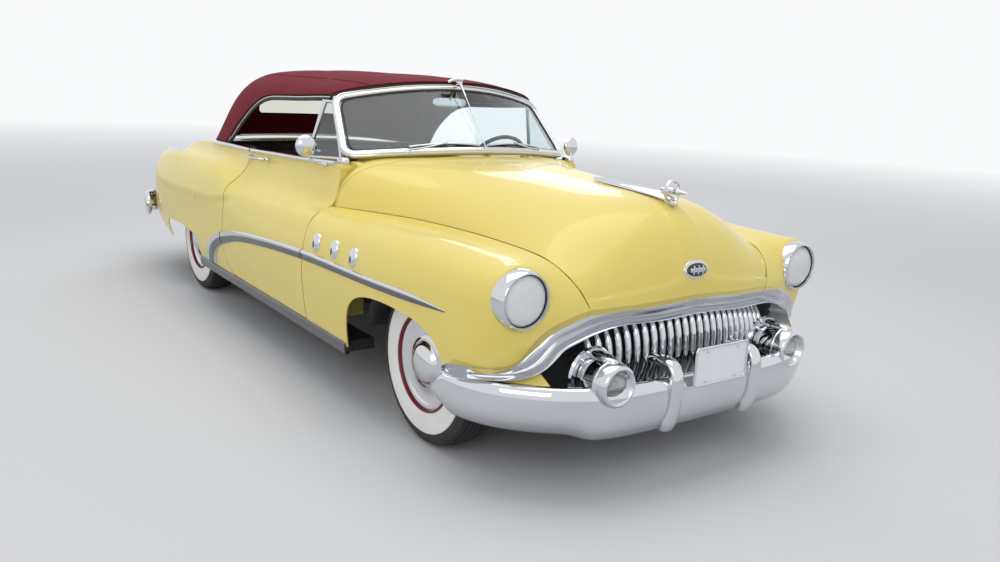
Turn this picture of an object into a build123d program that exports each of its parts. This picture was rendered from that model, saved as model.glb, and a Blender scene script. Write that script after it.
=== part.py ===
# A large two-door convertible of the early 1950s, standing with its soft top raised.
# +X points forward, +Y to the car's left, +Z up. The origin is on the ground below the middle
# of the car's length and width. All lengths are in millimetres, all angles in degrees.
import os
from math import cos, hypot, radians, sin

from build123d import *

# Overall layout
WHEELBASE = 3086
FRONT_AXLE_X = 1773
TYRE_RADIUS = 360
TYRE_WIDTH = 190
TRACK = 1500
FRONT_END_X = 2640
REAR_END_X = -2640

# Panels and gaps
SKIN = 18
PANEL_GAP = 8
DOOR_GAP = 10
SEAT_GAP = 0.3
HINGE_AT = (700, 955)
HINGE_HEIGHTS = (540, 640)
PIN_RADIUS = 6
PIN_HALF = 28

# Where the main panels end along the car
DOOR_FRONT_X = 790
DOOR_REAR_X = -395
HOOD_REAR_X = 812
FENDER_NOSE_X = 2360
HOOD_NOSE_X = 2461
TRUNK_FRONT_X = -1655
TRUNK_REAR_X = -2455
TAIL_X = -2470
TRUNK_HALF_WIDTH = 600

# Heights that several pieces share
SILL_Z = 322
SILL_TOP_Z = 312
BODY_BOTTOM_Z = 300
FLOOR_Z = 330
FLOOR_THICKNESS = 30
SEAM_Z = 883
HOOD_LIP_Z = 733

# Wheels, axles and steering
RIM_RADIUS = 212
HUB_BORE_RADIUS = 24
SPINDLE_CLEARANCE = 0.5
KINGPIN_INSET = 125
HUB_INSET = 110
SPINDLE_LENGTH = 150
REAR_AXLE_X = FRONT_AXLE_X - WHEELBASE
WHEEL_Y = TRACK / 2
KINGPIN_Y = WHEEL_Y - KINGPIN_INSET
HUB_Y = WHEEL_Y - HUB_INSET

# Chassis rails, and what fits between them
RAIL_Y = WHEEL_Y - 350
RAIL_HALF_WIDTH = 30
ENGINE_HALF_WIDTH = RAIL_Y - 120
EXHAUST_RADIUS = 24
EXHAUST_Y = -(ENGINE_HALF_WIDTH + EXHAUST_RADIUS + SEAT_GAP)

# Front and rear bumpers
BUMPER_BOTTOM_Z = 262
BUMPER_TOP_Z = 452
BUMPER_DEPTH = 45
GUARD_Y = 231
WALL_X = 2290

# Lamps
HEADLAMP_Y = 798
HEADLAMP_Z = 764
HEADLAMP_RADIUS = 113
HEADLAMP_GLASS_RADIUS = 89
HEADLAMP_X = 2350

# Cabin
STEER_WHEEL_RADIUS = 215
STEER_WHEEL_AT = (470, 400, 1025)
COLUMN_RAKE = 27
CABIN_HALF_WIDTH = 700

FORWARD = (1, 0, 0)
LEFT = (0, 1, 0)
UP = (0, 0, 1)


def profile(plane, start, *runs):
    """A closed face: each run is an end point, or an arc's middle point and its end point."""
    with BuildSketch(plane) as face:
        with BuildLine():
            here = start
            for run in runs:
                if isinstance(run[0], tuple):
                    middle, end = run
                    ThreePointArc(here, middle, end)
                else:
                    end = run
                    Line(here, end)
                here = end
            if hypot(here[0] - start[0], here[1] - start[1]) > 1e-6:
                Line(here, start)
        make_face()
    return face.sketch


def smooth(table, x):
    """The table's row at x, by a cubic through its rows whose slopes never overshoot a neighbour."""
    rows = sorted(table, key=lambda row: row[0])
    i = max(1, min(len(rows) - 1, sum(row[0] < x for row in rows)))
    low, high = rows[i - 1], rows[i]
    span = high[0] - low[0]
    t = min(1, max(0, (x - low[0]) / span))

    def slope(before, here, after, pick):
        rise = (pick(here) - pick(before)) / (here[0] - before[0])
        fall = (pick(after) - pick(here)) / (after[0] - here[0])
        return 0 if rise * fall <= 0 else 2 * rise * fall / (rise + fall)

    def value(pick):
        straight = (pick(high) - pick(low)) / span
        s0 = slope(rows[i - 2], low, high, pick) if i > 1 else straight
        s1 = slope(low, high, rows[i + 1], pick) if i < len(rows) - 1 else straight
        a, b = pick(low), pick(high)
        return ((2 * t**3 - 3 * t**2 + 1) * a + (3 * t**2 - 2 * t**3) * b
                + span * ((t**3 - 2 * t**2 + t) * s0 + (t**3 - t**2) * s1))

    return [tuple(value(lambda row, j=j, k=k: row[j][k]) for k in (0, 1)) for j in range(1, len(low))]


def inset(points, wall):
    """The outline's points moved square to it by the wall, to the outline's right-hand side."""
    moved = []
    for i, (y, z) in enumerate(points):
        y0, z0 = points[max(i - 1, 0)]
        y1, z1 = points[min(i + 1, len(points) - 1)]
        run = hypot(y1 - y0, z1 - z0)
        moved.append((y + wall * (z1 - z0) / run, z - wall * (y1 - y0) / run))
    return moved


def arcs(points):
    """Arc runs over point triples, from the second point on."""
    return [(points[i], points[i + 1]) for i in range(1, len(points) - 1, 2)]


def shell_section(x, points, wall=SKIN):
    """A thin closed section at x: the outline's arcs, and back along its inset arcs."""
    inner = inset(points, wall)[::-1]
    return profile(Plane.YZ.offset(x), points[0], *arcs(points), inner[0], *arcs(inner))


def solid_section(x, points, *closing):
    """A filled section at x: the outline's arcs, closed by straight runs."""
    return profile(Plane.YZ.offset(x), points[0], *arcs(points), *closing)


def steps(start, end, count):
    """Evenly spaced values from start to end, both included."""
    return [start + (end - start) * i / count for i in range(count + 1)]


def write(part, label):
    """Label a finished piece and write it as one STEP file."""
    part.part.label = label
    export_step(part.part, f"parts/{label}.step")


def mirrored(source, label):
    """Write the right-hand twin of a left-hand piece."""
    with BuildPart() as twin:
        add(mirror(source.part, about=Plane.XZ, mode=Mode.PRIVATE))
    write(twin, label)
    return twin


os.makedirs("parts", exist_ok=True)

# The body's outer skin, as sections of its left side. Hood columns: x, then y and z of the
# centre, brow, shoulder, flank and seam
HOOD_STATIONS = (
    (HOOD_REAR_X, (0, 1142), (330, 1134), (610, 1105), (745, 1020), (802, SEAM_Z)),
    (1250, (0, 1137), (260, 1122), (450, 1070), (560, 990), (616, SEAM_Z)),
    (1750, (0, 1116), (230, 1097), (390, 1040), (495, 965), (558, SEAM_Z)),
    (2150, (0, 1097), (220, 1074), (375, 1015), (490, 950), (582, SEAM_Z)),
    (2300, (0, 1062), (210, 1036), (365, 975), (485, 915), (578, 862)),
    (2400, (0, 965), (200, 945), (340, 900), (450, 850), (540, 800)),
    (HOOD_NOSE_X, (0, 800), (170, 795), (290, 782), (400, 765), (470, HOOD_LIP_Z)),
)
# Front fender columns: x, then y and z of the catwalk, crown, shoulder and side
FENDER_STATIONS = (
    (DOOR_FRONT_X + DOOR_GAP, (838, 877), (858, 866), (925, 818), (972, 640)),
    (1250, (712, 892), (800, 894), (905, 848), (972, 660)),
    (FRONT_AXLE_X, (680, 896), (795, 905), (905, 862), (966, 690)),
    (2150, (695, 893), (800, 893), (900, 850), (946, 700)),
    (2320, (690, 884), (798, 886), (892, 846), (922, 764)),
    (FENDER_NOSE_X, (690, 868), (798, 874), (884, 840), (912, 764)),
)
# Door and quarter columns: x, then y and z of the belt, waist, hump, shelf and side
FLANK_STATIONS = (
    (DOOR_FRONT_X, (765, 1083), (803, 886), (850, 863), (922, 820), (970, 600)),
    (200, (775, 1068), (825, 900), (878, 852), (935, 800), (975, 600)),
    (-400, (785, 1052), (845, 912), (895, 870), (955, 786), (975, 600)),
    (-650, (785, 1048), (835, 952), (900, 938), (966, 737), (975, 600)),
    (REAR_AXLE_X, (745, 1035), (805, 942), (870, 948), (968, 733), (972, 560)),
    (-1850, (690, 990), (780, 908), (850, 915), (945, 712), (950, 540)),
    (-2200, (640, 915), (745, 872), (810, 878), (885, 690), (895, 520)),
    (TAIL_X, (600, 800), (690, 810), (745, 818), (800, 690), (810, 520)),
)
# Sections that hood and fenders share, so that the seam between them stays even
SEAM_X = (880, 1000, 1120, 1250, 1500, 1750, 1950, 2150, 2240, 2300)
FOOT_STATIONS = (
    (-2470, (780, 420)), (-2200, (860, 360)), (REAR_AXLE_X, (940, BODY_BOTTOM_Z)),
    (DOOR_FRONT_X, (945, BODY_BOTTOM_Z)), (FRONT_AXLE_X, (948, BODY_BOTTOM_Z)), (2360, (880, 420)),
)


def foot(x):
    """The skin's lower edge at x."""
    return smooth(FOOT_STATIONS, x)[0]


def fender_outline(x):
    """The front fender's skin at x, from the hood seam to the foot."""
    seam_y, seam_z = smooth(HOOD_STATIONS, min(x, 2330))[-1]
    points = smooth(FENDER_STATIONS, x)
    side, low = points[-1], foot(x)
    return [(seam_y + PANEL_GAP, seam_z), *points, ((side[0] + low[0]) / 2 + 8, (side[1] + low[1]) / 2), low]


def flank_outline(x):
    """The door's or quarter's skin at x, from the belt to the foot."""
    points = smooth(FLANK_STATIONS, x)
    side, low = points[-1], foot(x)
    return [*points, ((side[0] + low[0]) / 2 + 10, (side[1] + low[1]) / 2), low]


# Front fenders
with BuildPart() as front_fender_left:
    for x in (DOOR_FRONT_X + DOOR_GAP, *SEAM_X, 2320, FENDER_NOSE_X):
        add(shell_section(x, fender_outline(x)))
    loft(ruled=True)
    nose = fender_outline(FENDER_NOSE_X)
    add(solid_section(FENDER_NOSE_X - SKIN, nose, (nose[0][0], foot(FENDER_NOSE_X)[1])))
    extrude(amount=SKIN, dir=FORWARD)
    # Gutter that the hood's edge rests on
    with BuildPart(mode=Mode.PRIVATE) as gutter:
        for x in SEAM_X[:-1]:
            edge, top = inset(smooth(HOOD_STATIONS, x), SKIN)[-1]
            out, top = fender_outline(x)[0][0] + 14, top - SEAT_GAP
            add(profile(Plane.YZ.offset(x), (edge - 8, top - 12), (out, top - 12), (out, top), (edge - 8, top)))
        loft(ruled=True)
    add(gutter.part)
    # Wheel arch, open to the ground
    with BuildSketch(Plane.XZ.offset(-KINGPIN_Y)):
        with BuildLine():
            Polyline((1262, 200), (1268, 400), (1318, 520), (1430, 582))
            ThreePointArc((1430, 582), (1660, 602), (1890, 590))
            Polyline((1890, 590), (2010, 545), (2095, 430), (2120, 200), (1262, 200))
        make_face()
    extrude(amount=400, dir=LEFT, mode=Mode.SUBTRACT)
    # The lower nose is cut back to the chrome wings, and the lamp's bucket is open
    below_nose = profile(Plane.XZ.offset(-500), (2090, 200), (2500, 200), (2500, 730), (2400, 662), (2300, 572),
                         (2200, 526), (2090, 494))
    extrude(below_nose, amount=600, dir=LEFT, mode=Mode.SUBTRACT)
    with BuildSketch(Plane.YZ.offset(FENDER_NOSE_X - 80)):
        with Locations((HEADLAMP_Y, HEADLAMP_Z)):
            Circle(HEADLAMP_RADIUS - 18)
    extrude(amount=200, dir=FORWARD, mode=Mode.SUBTRACT)
write(front_fender_left, "front_fender_left")
mirrored(front_fender_left, "front_fender_right")

# Hood
with BuildPart() as hood:
    for x in (HOOD_REAR_X, *SEAM_X, 2360, 2400, 2435, HOOD_NOSE_X):
        add(shell_section(x, smooth(HOOD_STATIONS, x)))
    loft(ruled=True)
    nose = smooth(HOOD_STATIONS, HOOD_NOSE_X)
    add(solid_section(HOOD_NOSE_X - SKIN, nose, (0, HOOD_LIP_Z)))
    extrude(amount=SKIN, dir=FORWARD)
    # The rear edge curves with the windshield's foot
    with BuildSketch(Plane.XY.offset(700)):
        with BuildLine():
            Polyline((HOOD_REAR_X, 775), (HOOD_REAR_X - 60, 775), (HOOD_REAR_X - 60, -10), (1010, -10), (1010, 0))
            ThreePointArc((1010, 0), (965, 420), (HOOD_REAR_X, 775))
        make_face()
    extrude(amount=600, dir=UP, mode=Mode.SUBTRACT)
    mirror(about=Plane.XZ)
write(hood, "hood")

# Hood ornament: a ring round a bomb, on a long spear
ORNAMENT_X = 2290
ORNAMENT_Z = 1126
with BuildPart() as hood_ornament:
    with BuildSketch(Plane.YZ.offset(ORNAMENT_X - 8)):
        with Locations((0, ORNAMENT_Z)):
            Circle(46)
            Circle(35, mode=Mode.SUBTRACT)
    extrude(amount=16)
    bomb = profile(Plane.XZ.offset(0), (2215, ORNAMENT_Z), (2378, ORNAMENT_Z), ((2335, ORNAMENT_Z + 12),
                   (2290, ORNAMENT_Z + 14)))
    revolve(bomb, axis=Axis((0, 0, ORNAMENT_Z), FORWARD))
    with Locations((ORNAMENT_X, 0, ORNAMENT_Z)):
        Box(14, 80, 8)
    spear = profile(Plane.XZ, (1805, 1114.5), (2150, 1098), (2240, 1082), (2290, 1067), (2300, 1070),
                    (2285, 1094), (2200, 1112), (1810, 1128))
    extrude(spear, amount=9, dir=LEFT, both=True)
    add(hood.part, mode=Mode.SUBTRACT)
write(hood_ornament, "hood_ornament")

# Doors: as thick as the whole door, closing on the sill
door_shape = profile(Plane.XZ, (DOOR_FRONT_X, 1200), (DOOR_FRONT_X, SILL_Z), (DOOR_REAR_X + 150, SILL_Z),
                     ((DOOR_REAR_X + 58, SILL_Z + 48), (DOOR_REAR_X, SILL_Z + 150)), (DOOR_REAR_X, 1200))
with BuildPart() as door_left:
    for x in steps(DOOR_REAR_X - 5, DOOR_FRONT_X, 5):
        points = flank_outline(x)
        inside_low = points[-1][0] - 88
        inside_belt = points[0][0] - 96
        add(solid_section(x, points, (inside_low, BODY_BOTTOM_Z), (inside_low, 760), (inside_belt, 900),
                          (inside_belt, points[0][1] - 4)))
    loft(ruled=True)
    extrude(door_shape, amount=1100, dir=LEFT, mode=Mode.INTERSECT)
    # Pockets and bores for the two hinges
    for z in HINGE_HEIGHTS:
        pocket = profile(Plane.XY.offset(z - 13), (686, 830), (686, 963), (DOOR_FRONT_X + 10, 963),
                         (DOOR_FRONT_X + 10, 830))
        extrude(pocket, amount=26, dir=UP, mode=Mode.SUBTRACT)
        with Locations((*HINGE_AT, z)):
            Cylinder(PIN_RADIUS + SEAT_GAP, 2 * PIN_HALF + 1, mode=Mode.SUBTRACT)
write(door_left, "door_left")
mirrored(door_left, "door_right")

# Quarter panels, cut round the door and over the rear wheel
with BuildPart() as quarter_panel_left:
    for x in (-200, -400, -520, -650, -850, -1050, REAR_AXLE_X, -1580, -1850, -2030, -2200, -2340, TAIL_X):
        add(shell_section(x, flank_outline(x)))
    loft(ruled=True)
    jamb = inset(flank_outline(DOOR_REAR_X - DOOR_GAP), SKIN / 3)
    add(solid_section(DOOR_REAR_X - DOOR_GAP - SKIN, jamb, (CABIN_HALF_WIDTH, BODY_BOTTOM_Z),
                      (CABIN_HALF_WIDTH, jamb[0][1])))
    extrude(amount=SKIN, dir=FORWARD)
    with Locations((DOOR_REAR_X - DOOR_GAP - SKIN / 2, 800, SILL_TOP_Z - 25)):
        Box(60, 250, 50, mode=Mode.SUBTRACT)
    with Locations((DOOR_REAR_X - DOOR_GAP - SKIN / 2, 740, FLOOR_Z - 40)):
        Box(60, 120, 100, mode=Mode.SUBTRACT)
    tail_cap = inset(flank_outline(TAIL_X), SKIN / 3)
    add(solid_section(TAIL_X - SKIN, tail_cap, (560, tail_cap[-1][1]), (560, 700)))
    extrude(amount=SKIN, dir=FORWARD)
    gap = DOOR_GAP
    door_hole = profile(Plane.XZ, (DOOR_FRONT_X, 1200), (DOOR_FRONT_X, SILL_Z - gap),
                        (DOOR_REAR_X + 150, SILL_Z - gap),
                        ((DOOR_REAR_X + 58 - gap * 0.7, SILL_Z + 48 - gap * 0.7), (DOOR_REAR_X - gap, SILL_Z + 150)),
                        (DOOR_REAR_X - gap, 1200))
    extrude(door_hole, amount=1100, dir=LEFT, mode=Mode.SUBTRACT)
    with BuildSketch(Plane.XZ.offset(-600)):
        with BuildLine():
            Polyline((REAR_AXLE_X + 385, 200), (REAR_AXLE_X + 372, 410), (REAR_AXLE_X + 320, 448))
            ThreePointArc((REAR_AXLE_X + 320, 448), (REAR_AXLE_X, 474), (REAR_AXLE_X - 320, 462))
            Polyline((REAR_AXLE_X - 320, 462), (REAR_AXLE_X - 378, 420), (REAR_AXLE_X - 390, 200),
                     (REAR_AXLE_X + 385, 200))
        make_face()
    extrude(amount=500, dir=LEFT, mode=Mode.SUBTRACT)
write(quarter_panel_left, "quarter_panel_left")
mirrored(quarter_panel_left, "quarter_panel_right")

# Deck and trunk lid share one surface. Columns: x, then y and z of the centre, three points out, edge
DECK_STATIONS = (
    (-1330, (0, 1056), (260, 1054), (480, 1048), (610, 1042)),
    (TRUNK_FRONT_X, (0, 1044), (260, 1040), (480, 1030), (600, 1016)),
    (-1900, (0, 1003), (260, 998), (470, 982), (580, 958)),
    (-2200, (0, 902), (250, 896), (440, 878), (540, 850)),
    (-2380, (0, 770), (240, 764), (420, 745), (510, 715)),
    (TAIL_X, (0, 600), (230, 596), (400, 585), (490, 565)),
)


def deck_outline(x):
    """The deck's skin at x, from the centre out to the quarter's belt."""
    belt_y, belt_z = flank_outline(x)[0]
    return [*smooth(DECK_STATIONS, x), (belt_y - PANEL_GAP - SKIN, belt_z)]


def lid_half_width(x):
    """Half the lid's width at x."""
    return TRUNK_HALF_WIDTH - 90 * (TRUNK_FRONT_X - x) / (TRUNK_FRONT_X - TRUNK_REAR_X)


def lid_plan(grow):
    """The lid's plan, grown by a gap."""
    front, rear = TRUNK_FRONT_X + grow, TRUNK_REAR_X - grow
    wide, narrow = lid_half_width(TRUNK_FRONT_X) + grow, lid_half_width(TRUNK_REAR_X) + grow
    return profile(Plane.XY.offset(400), (front, -wide), (front, wide), (rear, narrow), (rear, -narrow))


with BuildPart() as deck_skin:
    for x in (-1330, -1500, TRUNK_FRONT_X, -1780, -1900, -2050, -2200, -2300, -2380, -2430, TAIL_X):
        add(shell_section(x, deck_outline(x)))
    loft(ruled=True)
    mirror(about=Plane.XZ)
with BuildPart() as trunk_lid:
    add(deck_skin.part)
    extrude(lid_plan(0), amount=800, dir=UP, mode=Mode.INTERSECT)
write(trunk_lid, "trunk_lid")
with BuildPart() as rear_deck:
    add(deck_skin.part)
    extrude(lid_plan(PANEL_GAP), amount=800, dir=UP, mode=Mode.SUBTRACT)
    # Tail panel below the lid
    tail = profile(Plane.YZ.offset(TAIL_X), (-560, 445), (560, 445), (560, 640), (0, 606), (-560, 640))
    extrude(tail, amount=SKIN, dir=(-1, 0, 0))
    # Gutter that the lid rests on: a step down, then a lip below the lid
    for drop, outside, inside in ((SKIN / 2, 20, PANEL_GAP), (SKIN - 1, 20, -20)):
        with BuildPart(mode=Mode.PRIVATE) as lip:
            add(Pos(0, 0, -drop) * deck_skin.part)
            extrude(lid_plan(outside), amount=800, dir=UP, mode=Mode.INTERSECT)
            extrude(lid_plan(inside), amount=800, dir=UP, mode=Mode.SUBTRACT)
            with Locations((TRUNK_FRONT_X, 0, 1000)):
                Box(80, 1600, 300, mode=Mode.SUBTRACT)
        add(lip.part)
    add(Pos(0, 0, -SEAT_GAP) * trunk_lid.part, mode=Mode.SUBTRACT)
write(rear_deck, "rear_deck")

# Cowl: the strip under the windshield, the firewall and the two front door posts
with BuildPart() as cowl:
    cowl_rear = DOOR_FRONT_X + DOOR_GAP
    for x in (700, HOOD_REAR_X, 930, 1004):
        add(shell_section(x, smooth(HOOD_STATIONS, x)))
    loft(ruled=True)
    with Locations((cowl_rear - 100, 840, 950)):
        Box(200, 400, 400, mode=Mode.SUBTRACT)
    arc_gap = PANEL_GAP + 2
    with BuildSketch(Plane.XY.offset(600)):
        with BuildLine():
            Polyline((HOOD_REAR_X - arc_gap, 775), (HOOD_REAR_X - arc_gap, 1000), (1200, 1000), (1200, -10),
                     (1010 - arc_gap, -10), (1010 - arc_gap, 0))
            ThreePointArc((1010 - arc_gap, 0), (965 - arc_gap, 420), (HOOD_REAR_X - arc_gap, 775))
        make_face()
    extrude(amount=700, dir=UP, mode=Mode.SUBTRACT)
    firewall = profile(Plane.YZ.offset(cowl_rear), (0, 560), (640, 560), (640, 1080), (330, 1120), (0, 1128))
    extrude(firewall, amount=15, dir=(-1, 0, 0))
    post = profile(Plane.YZ.offset(cowl_rear), (0, 560), (640, 560), (640, SILL_TOP_Z), (915, SILL_TOP_Z), (932, 640),
                   (872, 790), (790, 836), (768, 880), (712, 1000), (600, 1080), (330, 1118), (0, 1126))
    extrude(post, amount=12, dir=FORWARD)
    # Hinge leaves and pins for the doors
    pin_x, pin_y = HINGE_AT
    for z in HINGE_HEIGHTS:
        leaf = profile(Plane.XY.offset(z - 8), (pin_x - 6, pin_y), (pin_x + 6, pin_y), (pin_x + 20, pin_y - 78),
                       (cowl_rear + 2, pin_y - 89), (cowl_rear + 2, pin_y - 105), (pin_x + 8, pin_y - 92))
        extrude(leaf, amount=16, dir=UP)
        with Locations((*HINGE_AT, z)):
            Cylinder(PIN_RADIUS, 2 * PIN_HALF)
    mirror(about=Plane.XZ)
write(cowl, "cowl")

# Windshield: one curved pane in a bright frame. Each edge is an arc from its middle to its corner
GLASS_FOOT = ((930, 1170), (723, 690, 1128))
GLASS_HEAD = ((617, 1483), (484, 626, 1392))


def pane_band(edge, grow_y, back, front, along):
    """A crescent in the tilted plane of one glass edge, moved along the glass and thickened."""
    (mid_x, mid_z), (corner_x, corner_y, corner_z) = edge
    slope = Vector(mid_x - corner_x, 0, mid_z - corner_z)
    sag = slope.length
    ahead = slope.normalized()
    plane = Plane(origin=(mid_x, 0, mid_z) + Vector(*along), x_dir=(0, 1, 0), z_dir=Vector(0, 1, 0).cross(ahead) * -1)
    flip = 1 if plane.y_dir.dot(ahead) > 0 else -1
    wide = corner_y + grow_y
    low = -sag * (wide / corner_y)**2
    return profile(plane, (-wide, flip * (low + back)), ((0, flip * back), (wide, flip * (low + back))),
                   (wide, flip * (low + front)), ((0, flip * front), (-wide, flip * (low + front))))


rake = Vector(GLASS_HEAD[0][0] - GLASS_FOOT[0][0], 0, GLASS_HEAD[0][1] - GLASS_FOOT[0][1]).normalized()
with BuildPart() as windshield_glass:
    add(pane_band(GLASS_FOOT, 0, -4, 4, rake * 0))
    add(pane_band(GLASS_HEAD, 0, -4, 4, rake * 0))
    loft(ruled=True)
write(windshield_glass, "windshield_glass")
with BuildPart() as frame_block:
    add(pane_band(GLASS_FOOT, 28, -15, 15, rake * -26))
    add(pane_band(GLASS_HEAD, 28, -15, 15, rake * 28))
    loft(ruled=True)
with BuildPart() as windshield_frame:
    add(frame_block.part)
    with BuildPart(mode=Mode.PRIVATE) as sight:
        add(pane_band(GLASS_FOOT, -10, -60, 60, rake * 10))
        add(pane_band(GLASS_HEAD, -10, -60, 60, rake * -10))
        loft(ruled=True)
    add(sight.part, mode=Mode.SUBTRACT)
    add(windshield_glass.part, mode=Mode.SUBTRACT)
write(windshield_frame, "windshield_frame")

# Soft top: a hollow shell, open below, with a window cut through each side and one at the rear.
# Columns: x, then y and z of the centre, crown, rail, side and foot
TOP_STATIONS = (
    (600, (0, 1522), (330, 1506), (560, 1452), (622, 1424), (640, 1398)),
    (200, (0, 1545), (330, 1530), (590, 1468), (650, 1418), (672, 1340)),
    (-500, (0, 1556), (330, 1540), (600, 1478), (668, 1400), (735, 1066)),
    (-1000, (0, 1554), (330, 1536), (590, 1470), (660, 1380), (742, 1056)),
    (-1200, (0, 1540), (310, 1518), (550, 1440), (630, 1340), (728, 1052)),
    (-1360, (0, 1490), (280, 1462), (480, 1370), (570, 1270), (700, 1050)),
    (-1500, (0, 1370), (240, 1340), (400, 1260), (490, 1180), (610, 1058)),
    (-1610, (0, 1180), (200, 1165), (340, 1130), (430, 1100), (520, 1062)),
)
with BuildPart() as top_shell:
    for x in (600, 400, 200, -150, -500, -800, -1000, -1200, -1290, -1360, -1430, -1500, -1560, -1610):
        add(shell_section(x, smooth(TOP_STATIONS, x), wall=22))
    loft(ruled=True)
    add(solid_section(-1610, smooth(TOP_STATIONS, -1610), (0, 1062)))
    extrude(amount=10, dir=(-1, 0, 0))
    side_window = profile(Plane.XZ.offset(-300), (610, 1000), (615, 1396), (360, 1412), (-280, 1408), (-560, 1385),
                          (-760, 1300), (-850, 1180), (-900, 1062), (-900, 1000))
    extrude(side_window, amount=600, dir=LEFT, mode=Mode.SUBTRACT)
    mirror(about=Plane.XZ)
    add(frame_block.part, mode=Mode.SUBTRACT)
rear_view = profile(Plane.YZ.offset(-1300), (-330, 1215), (330, 1215), (350, 1235), (350, 1350), (300, 1385),
                    (-300, 1385), (-350, 1350), (-350, 1235))
with BuildPart() as rear_window:
    add(top_shell.part)
    extrude(rear_view, amount=400, dir=(-1, 0, 0), mode=Mode.INTERSECT)
write(rear_window, "rear_window")
with BuildPart() as soft_top:
    add(top_shell.part)
    extrude(rear_view, amount=400, dir=(-1, 0, 0), mode=Mode.SUBTRACT)
write(soft_top, "soft_top")

# Vent windows stand on the doors' front corners
with BuildPart() as vent_window_left:
    vent = profile(Plane.XZ.offset(-680), (640, 1060), (640, 1090), (405, 1374), (385, 1374), (470, 1200), (420, 1060))
    extrude(vent, amount=12, dir=LEFT)
    add(door_left.part, mode=Mode.SUBTRACT)
write(vent_window_left, "vent_window_left")
mirrored(vent_window_left, "vent_window_right")

# Door mirrors, round heads on short arms
MIRROR_AT = (610, 872, 1166)
with BuildPart() as door_mirror_left:
    with BuildSketch(Plane.YZ.offset(MIRROR_AT[0] - 8)):
        with Locations((MIRROR_AT[1], MIRROR_AT[2])):
            Circle(56)
    extrude(amount=22, dir=FORWARD)
    arm = profile(Plane.YZ.offset(MIRROR_AT[0]), (748, 1074), (776, 1056), (868, 1150), (852, 1162))
    extrude(arm, amount=12, dir=FORWARD)
    add(door_left.part, mode=Mode.SUBTRACT)
write(door_mirror_left, "door_mirror_left")
mirrored(door_mirror_left, "door_mirror_right")

# Floor tub: toe board, floor, seat steps, trunk floor, sills and rear wheelhouses
HOUSE_RADIUS = 440
with BuildPart() as floor_tub:
    with BuildSketch(Plane.XZ):
        with BuildLine():
            Polyline((775, 700), (775, 560), (640, FLOOR_Z), (-620, FLOOR_Z), (-660, 400), (REAR_AXLE_X + 353, 400),
                     (REAR_AXLE_X + 253, 590), (REAR_AXLE_X - 247, 590), (REAR_AXLE_X - 327, 470), (-2440, 470))
        trace(line_width=FLOOR_THICKNESS - 10)
    extrude(amount=800, dir=LEFT, both=True)
    for side in (-1, 1):
        with BuildPart(mode=Mode.PRIVATE) as room:
            with Locations((REAR_AXLE_X, side * 750, TYRE_RADIUS)):
                Box(2 * HOUSE_RADIUS - 20, 380, 500)
        add(room.part, mode=Mode.SUBTRACT)
        with BuildSketch(Plane.XZ.offset(-side * 560)):
            with Locations((REAR_AXLE_X, TYRE_RADIUS)):
                Circle(HOUSE_RADIUS)
            with Locations((REAR_AXLE_X, 100)):
                Rectangle(1000, 710, mode=Mode.SUBTRACT)
        extrude(amount=20, dir=(0, side, 0))
        with BuildSketch(Plane.XZ.offset(-side * 560)):
            with Locations((REAR_AXLE_X, TYRE_RADIUS)):
                Circle(HOUSE_RADIUS)
                Circle(HOUSE_RADIUS - 15, mode=Mode.SUBTRACT)
            with Locations((REAR_AXLE_X, 100)):
                Rectangle(1000, 710, mode=Mode.SUBTRACT)
        extrude(amount=360, dir=(0, side, 0))
        with Locations((220, side * 850, SILL_TOP_Z - 25)):
            Box(2000, 130, 50)
        with Locations((-2150, side * 800, 480)):
            Box(800, 240, 100, mode=Mode.SUBTRACT)
write(floor_tub, "floor_tub")

# Engine bay: inner aprons and the front wall that carries the radiator
with BuildPart() as engine_bay:
    apron = profile(Plane.XZ.offset(-450), (812, 360), (1500, 360), (1560, 520), (1960, 520), (2020, 360), (2290, 360),
                    (2290, 790), (2240, 820), (812, 830))
    extrude(apron, amount=12, dir=LEFT)
    wall = profile(Plane.YZ.offset(WALL_X - 12), (0, 330), (560, 330), (560, 700), (462, 790), (0, 790))
    extrude(wall, amount=12, dir=FORWARD)
    with Locations((WALL_X - 5, 60, 620)):
        Box(40, 120, 300, mode=Mode.SUBTRACT)
    with Locations((WALL_X - 5, 330, 620)):
        Box(40, 180, 300, mode=Mode.SUBTRACT)
    with Locations(((WALL_X + FENDER_NOSE_X - SKIN) / 2, 595, 670)):
        Box(FENDER_NOSE_X - SKIN - WALL_X, 90, 60)
    with Locations((WALL_X - 6, 555, 670)):
        Box(12, 60, 60)
    mirror(about=Plane.XZ)
write(engine_bay, "engine_bay")
with BuildPart() as radiator:
    with Locations((WALL_X - 12 - 37.5, 0, 610)):
        Box(75, 640, 420)
write(radiator, "radiator")
with BuildPart() as engine:
    with Locations((1480, 0, 595)):
        Box(760, 2 * ENGINE_HALF_WIDTH, 560)
write(engine, "engine")

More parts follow.
